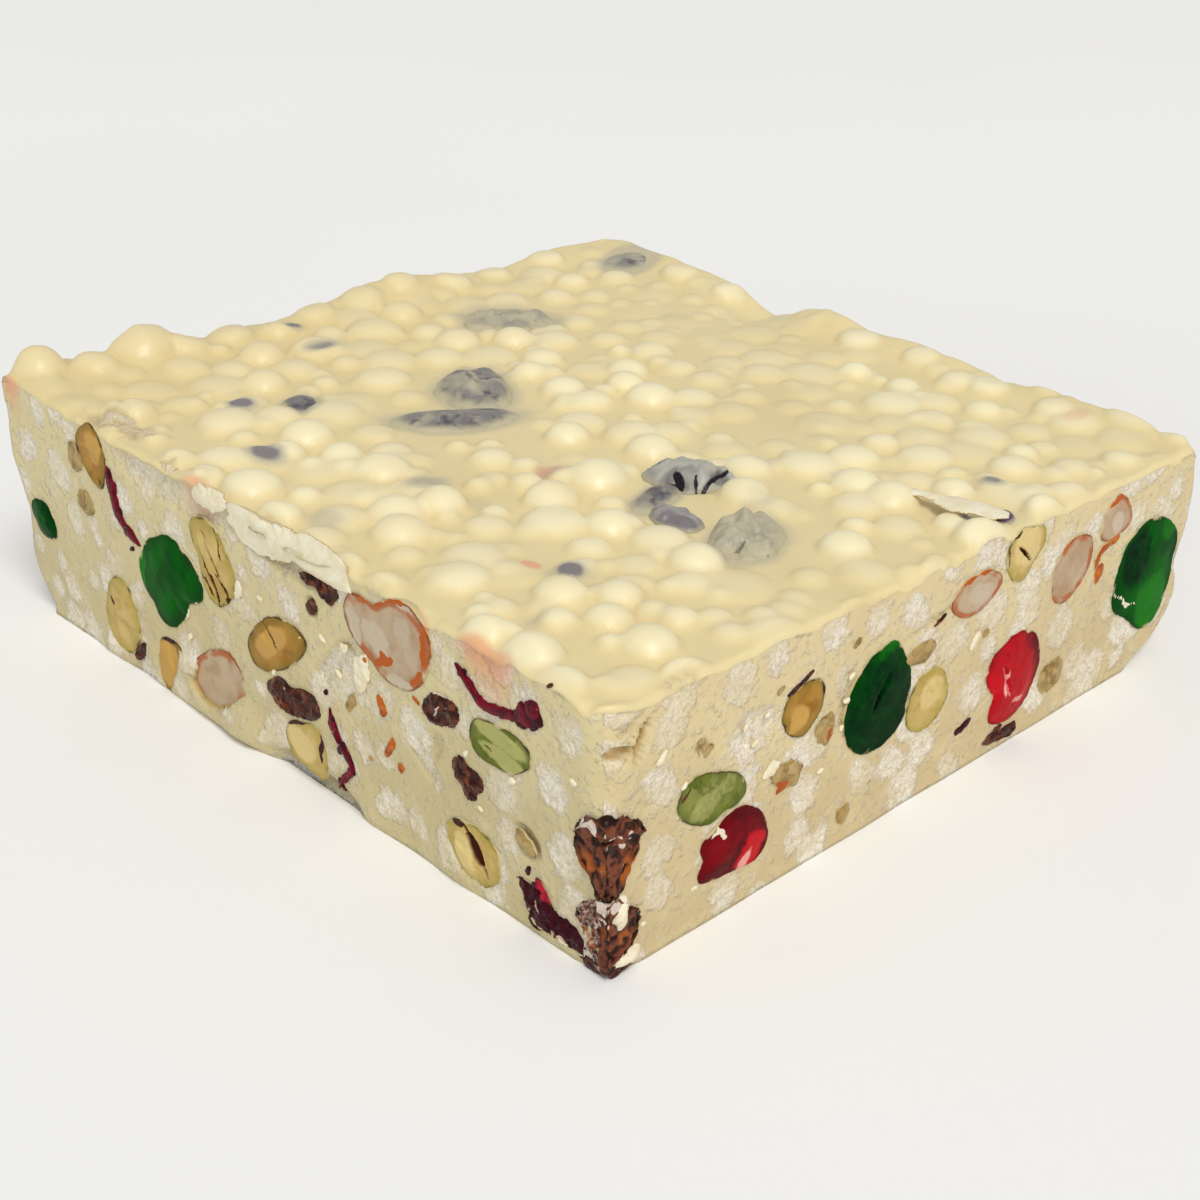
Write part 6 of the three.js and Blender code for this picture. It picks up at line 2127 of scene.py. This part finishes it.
CRUMBS = (
    Crumbs("orange_skins", "skin", "peanut", (
        (LEFT, 40.6, 19.2, 3, 1.7, 100), (LEFT, 39.4, 13.9, 3.6, 1.2, 60), (LEFT, 37.4, 11.8, 1.9, 1.1, 60),
        (RIGHT, 37.2, 17.2, 2.6, 1, 70), (RIGHT, 29, 13.2, 2.4, 0.9, 20), (RIGHT, 94.2, 19.2, 3.4, 1.8, 60),
        (RIGHT, 96, 23, 6.2, 1, 12), (RIGHT, 93.6, 21.4, 2.6, 1, 70), (LEFT, 43.6, 24.4, 1.6, 0.9, 30),
        (LEFT, 33.4, 23, 1.4, 0.8, -20))),
    Crumbs("nut_bits", "nut_chip", "nut_chip", (
        (LEFT, 14, 12, 3.9, 2.5, -40), (LEFT, 47.2, 17, 3.2, 1.6, 60), (RIGHT, 40.7, 4, 3.2, 2.1, 60),
        (RIGHT, 28.2, 26.8, 1.3, 0.8, 20), (RIGHT, 42, 27.9, 1.6, 0.9, 40), (RIGHT, 68.5, 19.4, 1.7, 1, 0),
        (RIGHT, 16, 23.9, 1.6, 1.2, 30), (RIGHT, 15.2, 25.3, 1, 0.7, 60), (LEFT, 43.7, 10.4, 1.1, 0.7, 0),
        (LEFT, 70, 4.4, 1.4, 0.9, 20))),
    Crumbs("red_bits", "cranberry", "cranberry", (
        (RIGHT, 64.8, 6.6, 3.9, 1.1, 12), (LEFT, 99, 20.6, 1.2, 0.7, 30), (LEFT, 52.8, 16.2, 1, 0.6, 80),
        (LEFT, 13.6, 8.4, 1.4, 0.8, 60), (LEFT, 103.2, 30.6, 2.4, 1.6, 70), (LEFT, 101.6, 25.4, 2.6, 1.7, 50),
        (LEFT, 99.6, 23.2, 2.4, 1.5, 20), (LEFT, 97.4, 22.2, 1.5, 0.9, -20), (LEFT, 51.8, 12.4, 1.9, 1.2, 80),
        (LEFT, 50.2, 9, 2.3, 1.5, 50), (LEFT, 48.4, 6.4, 2.2, 1.3, 90), (LEFT, 50.8, 3.4, 2, 1.1, -50),
        (LEFT, 11.6, 29.4, 2.9, 2.2, 60), (LEFT, 14, 28.2, 2.2, 1.4, 0), (LEFT, 17.2, 27.8, 1.6, 1, 10),
        (LEFT, 24.4, 30.4, 1.7, 0.9, 40))),
    Crumbs("dark_bits", "raisin", "raisin", (
        (LEFT, 54.5, 27.8, 2.6, 1.9, 30), (LEFT, 8.9, 35, 1, 0.5, 40), (LEFT, 2.6, 0.9, 4.6, 1.5, 2),
        (RIGHT, 1.8, 0.8, 3.4, 1.3, 4), (RIGHT, 12.4, 19.4, 3.6, 0.5, 38), (RIGHT, 32, 26.4, 5.4, 0.4, 22),
        (RIGHT, 58.4, 25, 8, 0.28, 16), (RIGHT, 73, 3, 2.2, 1, 20), (RIGHT, 76.4, 2.4, 1.6, 0.8, -10))),
    Crumbs("cream_chips", "cream", "white_chocolate", (
        (RIGHT, 1.8, 8.9, 3.4, 2.3, 85), (RIGHT, 3.2, 1.9, 3.6, 2, 10), (RIGHT, 1.6, 19.4, 1.9, 1.2, 20),
        (RIGHT, 3.4, 18.4, 1.6, 1.1, -30), (LEFT, 1.4, 18.6, 1.8, 1.1, 30), (RIGHT, 27, 16.6, 3.6, 1.7, 15),
        (LEFT, 7.7, 1.5, 1.6, 1, 0), (RIGHT, 5.6, 5.2, 0.9, 0.6, 0), (LEFT, 71.5, 24, 3, 1.6, 60),
        (RIGHT, 66.2, 19.2, 2.6, 1.4, 50), (LEFT, 48, 24.4, 2, 1.2, 40), (RIGHT, 8.6, 26, 2.2, 1, 40),
        (RIGHT, 40.5, 20.5, 1.2, 0.8, 0), (RIGHT, 39.6, 17, 1, 0.6, 50), (RIGHT, 41.2, 23.6, 1.1, 0.7, 30),
        (RIGHT, 36, 12.4, 1.2, 0.7, 20), (RIGHT, 24, 21.4, 1.4, 0.8, 10), (RIGHT, 22.2, 24.2, 1, 0.7, 70),
        (RIGHT, 26, 24.4, 0.9, 0.6, 40), (RIGHT, 12.2, 20.8, 1.2, 0.7, 30), (RIGHT, 14, 6, 1, 0.6, 0),
        (RIGHT, 47.6, 15, 0.8, 0.5, 60), (LEFT, 24.4, 19.6, 1.2, 0.8, 40), (LEFT, 22, 13, 1, 0.7, 0),
        (LEFT, 16, 19.6, 1.6, 0.9, 20), (LEFT, 64.6, 14.4, 1.2, 0.8, 60), (LEFT, 66.4, 24.6, 1.4, 0.8, 10),
        (LEFT, 57.6, 22.2, 1.2, 0.7, 30), (LEFT, 85.6, 11.6, 1.6, 1, 50), (LEFT, 5.4, 24.2, 1.2, 0.8, 0),
        (LEFT, 52.6, 24, 1.5, 0.9, -40), (LEFT, 49.4, 20.2, 1.3, 0.8, -30))),
)

FLAKES: tuple[Morsel, ...] = (
    Flake("flake_curl", TOP, 71.5, 8.2, oval_radii(10, 4.4, -81, 0.2, 0.6), level=34.25, slope=(0.05, 0),
        depth_share=0.1),
    Flake("flake_small", TOP, 70.5, 14.7, oval_radii(5.6, 2, -73, 0.2, 2), level=34.3, slope=(0.04, 0),
        depth_share=0.1),
    Chip("flake_corner_gap", RIGHT, 1.9, 8.4, oval_radii(4.4, 2.6, 82, 0.2, 1.2), crown=0.9),
    Chip("flake_corner_foot", RIGHT, 3, 2, oval_radii(4.2, 2.2, 12, 0.22, 2.7), crown=0.8),
    Chip("flake_lip", LEFT, 59, 34.9, oval_radii(28, 5, 4, 0.2, 1), crown=0.6, ragged=0.24, grain=0.24,
        grain_size=2.6, around=180, rings=20, depth_share=0.5),
    Chip("flake_lip_end", LEFT, 76.5, 35.6, oval_radii(9, 3.4, 12, 0.16, 3), crown=0.45, ragged=0.2, grain=0.3,
        grain_size=1.6, around=120, rings=16, depth_share=0.5),
    Chip("flake_low", LEFT, 44.6, 22.4, oval_radii(7, 3, 70, 0.2, 5), crown=0.35, ragged=0.2, grain=0.4),
)


def tray_morsels() -> tuple[Morsel, ...]:
    """Makes the morsels of the tray sides, each an uneven oval in the middle of its solid's box.

    Returns:
        The morsels.
    """
    made = []
    for number, (node, kind, side, slot, length, width, tilt) in enumerate(TRAY_MORSELS):
        low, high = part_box(node)
        middle = np.array([(low[k] + high[k]) / 2 / MM for k in range(3)]) - FRONT_CORNER
        along, _ = WALLS[side].measure(middle)
        radii = oval_radii(length, width, tilt, 0.05, 1.7 * number)
        made.append(kind(node, side, float(along), float(middle[2]), radii, slot=slot))
    return tuple(made)


FINISHES: dict[str, Any] = {
    "green_cherry": MorselFinish(
        "green_cherry", meat=paint(0, 96, 8), meat_deep=paint(0, 72, 8), rim=paint(30, 116, 16),
        skin=paint(2, 34, 16), light=paint(26, 122, 20), slit=paint(0, 16, 8), outer=paint(0, 60, 10),
        rim_from=0.97, rim_to=1.1, soft=0.4, cloud=6.0, detail=1.0, grain=1.2, bump=0.1, roughness=0.3,
        specular=0.02),
    # The red cherry's skin colour is a pinkish-white painted highlight, laid where its skins marks are.
    "red_cherry": MorselFinish(
        "red_cherry", meat=paint(134, 2, 18), meat_deep=paint(86, 0, 12), rim=paint(86, 2, 14),
        skin=paint(246, 176, 166), light=paint(200, 12, 28), slit=paint(236, 130, 136),
        outer=paint(92, 0, 12), rim_from=0.97, rim_to=1.1, soft=0.3, cloud=4.5, detail=2.0, grain=0.9,
        bump=0.14, roughness=0.3, specular=0.05),
    "green_pistachio": MorselFinish(
        "green_pistachio", meat=paint(116, 126, 38), meat_deep=paint(84, 98, 20), rim=paint(66, 40, 34),
        skin=paint(58, 28, 30), light=paint(180, 178, 108), slit=paint(30, 26, 14),
        outer=paint(84, 96, 28), cloud=3.0, facet=0.5, specular=0.08),
    "amber_pistachio": MorselFinish(
        "amber_pistachio", meat=paint(180, 130, 46), meat_deep=paint(150, 102, 30), rim=paint(70, 52, 22),
        skin=paint(50, 22, 26), light=paint(204, 160, 84), slit=paint(90, 58, 22),
        outer=paint(126, 106, 34), cloud=3.0, facet=0.45, specular=0.08),
    "pale_nut": MorselFinish(
        "pale_nut", meat=paint(212, 182, 112), meat_deep=paint(188, 154, 84), rim=paint(96, 88, 34),
        skin=paint(62, 28, 26), light=paint(226, 202, 138), slit=paint(74, 32, 13),
        outer=paint(172, 156, 70), rim_gaps=0.48, cloud=3.0, facet=0.45, specular=0.08),
    "peanut": MorselFinish(
        "peanut", meat=paint(198, 172, 140), meat_deep=paint(180, 148, 114), rim=paint(140, 72, 34),
        skin=paint(190, 92, 24), light=paint(208, 190, 166), slit=paint(140, 100, 68),
        outer=paint(184, 108, 66), ring=0.74, rim_from=0.93, rim_to=0.99, rim_gaps=0.4, cloud=3.6, facet=0.4,
        specular=0.1),
    "nut_chip": MorselFinish(
        "nut_chip", meat=paint(176, 144, 86), meat_deep=paint(132, 104, 50), rim=paint(120, 86, 44),
        skin=paint(184, 86, 32), light=paint(202, 180, 128), slit=paint(80, 50, 22), cloud=1.5,
        facet=0.6, rim_gaps=0.5, specular=0.1),
    "skin": MorselFinish(
        "peanut_skin", meat=paint(200, 94, 22), meat_deep=paint(146, 62, 24), rim=paint(140, 72, 32),
        skin=paint(184, 86, 32), light=paint(216, 132, 60), slit=paint(80, 50, 20), cloud=1.2, facet=0.5,
        specular=0.1),
    "cream": MorselFinish(
        "cream_chip", meat=paint(248, 238, 208), meat_deep=paint(240, 226, 188), rim=paint(244, 234, 208),
        skin=paint(228, 210, 164), light=paint(250, 244, 222), slit=paint(200, 180, 130), cloud=2.0, facet=0.5,
        roughness=0.5, specular=0.3),
    "cranberry": DriedFinish(
        "cranberry", fold=paint(58, 4, 20), ridge=paint(136, 10, 38), core=paint(190, 36, 54),
        dust=paint(232, 196, 170), dust_share=0.0, cloud=1.2, roughness=0.36, specular=0.1, coat=0.0),
    "raisin": DriedFinish(
        "raisin", fold=paint(54, 20, 13), ridge=paint(130, 70, 45), core=paint(168, 86, 30),
        dust=paint(222, 204, 190), dust_share=0.0, cloud=1.3, roughness=0.32, specular=0.16, coat=0.0,
        ridge_share=0.5, mottle=1.7, lift=0.2),
    "corner_raisin": DriedFinish(
        "corner_raisin", fold=paint(36, 13, 8), ridge=paint(124, 66, 42), core=paint(172, 90, 30),
        dust=paint(222, 204, 190), dust_share=0.0, cloud=1.3, roughness=0.32, specular=0.16, coat=0.0,
        ridge_share=0.6, mottle=1.7, lift=0.04),
    "veiled_raisin": FilmFinish(
        "veiled_raisin", thin=paint(128, 126, 124), dark=paint(76, 70, 84), thick=paint(190, 182, 156),
        shore=paint(196, 187, 156)),
    "bare_raisin": DriedFinish(
        "bare_raisin", fold=paint(24, 22, 28), ridge=paint(180, 178, 168), core=paint(92, 70, 100),
        dust=paint(206, 202, 188), dust_share=-0.2, cloud=4.0, roughness=0.34, bump=0.15, ridge_share=1.1,
        mottle=0.7, specular=0.2, edge=paint(178, 170, 148)),
}


def stand(name: str, data: Union[bpy.types.Camera, bpy.types.Light], columns: Sequence[Array]) -> bpy.types.Object:
    """Stands a camera or a light in the scene.

    Args:
        name: its name.
        data: its settings.
        columns: its own right, up and backward directions, and its place in metres.

    Returns:
        The object.
    """
    piece = bpy.data.objects.new(name, data)
    bpy.context.collection.objects.link(piece)
    piece.matrix_world = Matrix([*np.column_stack(columns).tolist(), [0.0, 0.0, 0.0, 1.0]])
    return piece


@dataclass(frozen=True)
class Studio:
    """A pale floor, soft lights and the camera."""

    eye: tuple[float, float, float] = (-123.1, -135.8, 141.9)
    yaw: float = 47.93
    pitch: float = 26.94
    roll: float = -0.72
    lens: float = 60.0
    sensor: float = 36.0
    sun_angle: float = 28.0
    floor_half: float = 3.0
    key_power: float = 1.8
    fill_power: float = 0.95
    sky: float = 0.42

    def camera(self) -> None:
        """Sets the camera from its place and its three turns."""
        yaw, pitch, roll = (math.radians(v) for v in (self.yaw, self.pitch, self.roll))
        forward = np.array([math.cos(pitch) * math.cos(yaw), math.cos(pitch) * math.sin(yaw), -math.sin(pitch)])
        level = np.array([math.sin(yaw), -math.cos(yaw), 0.0])
        above = np.cross(level, forward)
        right = math.cos(roll) * level + math.sin(roll) * above
        up = -math.sin(roll) * level + math.cos(roll) * above
        data = bpy.data.cameras.new("camera")
        data.sensor_width, data.lens = self.sensor, self.lens
        data.clip_start, data.clip_end = 0.01, 20.0
        place = (np.array(self.eye) + FRONT_CORNER) * MM
        bpy.context.scene.camera = stand("camera", data, (right, up, -forward, place))

    def light(self, name: str, place: tuple[float, float, float], size: float, power: float, tint: Colour) -> None:
        """Adds a soft light that faces the slab's middle: a square panel, or broad daylight where size is 0.

        Args:
            name: the light's name.
            place: where it hangs, in metres from the slab's middle.
            size: the panel's side in metres.
            power: the panel's power in watts, or the daylight's strength.
            tint: its colour.
        """
        data = bpy.data.lights.new(name, "AREA" if size else "SUN")
        data.energy, data.color = power, tint
        if size:
            data.size = size
        else:
            data.angle = math.radians(self.sun_angle)
        away = np.array(place) / np.linalg.norm(place)
        side = np.cross([0.0, 0.0, 1.0], away)
        side /= np.linalg.norm(side)
        stand(name, data, (side, np.cross(away, side), away, np.array(place)))

    def floor(self) -> None:
        """Lays the floor, a pale square under the slab."""
        half = self.floor_half
        mesh = bpy.data.meshes.new("floor")
        corners = [(-half, -half, 0), (half, -half, 0), (half, half, 0), (-half, half, 0)]
        mesh.from_pydata(corners, [], [(0, 1, 2, 3)])
        make = Recipe("floor")
        tone = make.blend(make.noise(240.0).eased(0.3, 0.7), paint(252, 252, 251), paint(249, 249, 248))
        mesh.materials.append(make.finish(Base_Color=tone, Roughness=0.8))
        piece = bpy.data.objects.new("floor", mesh)
        bpy.context.collection.objects.link(piece)

    def build(self) -> None:
        """Sets up the camera, the lights, the sky and the floor."""
        self.camera()
        self.floor()
        self.light("key", (-0.3, -0.67, 1.0), 0.0, self.key_power, (1.0, 0.98, 0.95))
        self.light("fill", (-1.1, -0.2, 0.5), 0.9, self.fill_power, (0.8, 1.0, 0.9))
        world = bpy.data.worlds.new("sky")
        world.use_nodes = True
        background = world.node_tree.nodes["Background"]
        background.inputs[0].default_value = (1.0, 1.0, 1.0, 1.0)
        background.inputs[1].default_value = self.sky
        bpy.context.scene.world = world
        bpy.context.scene.view_settings.view_transform = "Standard"


@dataclass
class WhiteChristmas:
    """The whole slab: the chocolate and everything set in it."""

    form: SlabForm = field(default_factory=SlabForm)

    def build(self) -> None:
        """Builds and dresses every piece: the chocolate first, then what is set in it, then what lies on it."""
        materials = {key: finish.material() for key, finish in FINISHES.items()}
        morsels = CUT_MORSELS + tray_morsels()
        slab = ChocolateSlab(self.form, morsels, TOP_RAISINS, HOLLOWS, VEILS, STAINS, TEARS, CUT_PUFFS)
        slab.shell().build("chocolate", ChocolateFinish().material(), ["chocolate_slab"], "white_chocolate")
        for morsel in morsels:
            morsel.shell().build(morsel.node + "_cut", materials[morsel.slot], [morsel.node], morsel.slot)
        for ribbon in RIBBONS:
            ribbon.shell().build(ribbon.node + "_strip", materials["cranberry"], [ribbon.node], "cranberry")
        for raisin in CORNER_RAISINS:
            raisin.shell().build(raisin.node + "_torn", materials["corner_raisin"], [raisin.node], "raisin")
        for crumbs in CRUMBS:
            crumbs.shell().build(crumbs.name, materials[crumbs.finish], [], crumbs.slot)
        Shell.joined([flake.shell() for flake in FLAKES]).build(
            "chocolate_flakes", materials["cream"], [], "white_chocolate")
        for raisin in TOP_RAISINS:
            finish, slot = ("veiled_raisin",) * 2 if raisin.veiled else ("bare_raisin", "raisin")
            raisin.shell(self.form).build(raisin.node + "_mound", materials[finish], [raisin.node], slot)


def main() -> None:
    """Builds the studio and the slab."""
    logging.basicConfig(level=logging.INFO, format="%(name)s: %(message)s")
    Studio().build()
    WhiteChristmas().build()


if __name__ == "__main__":
    main()
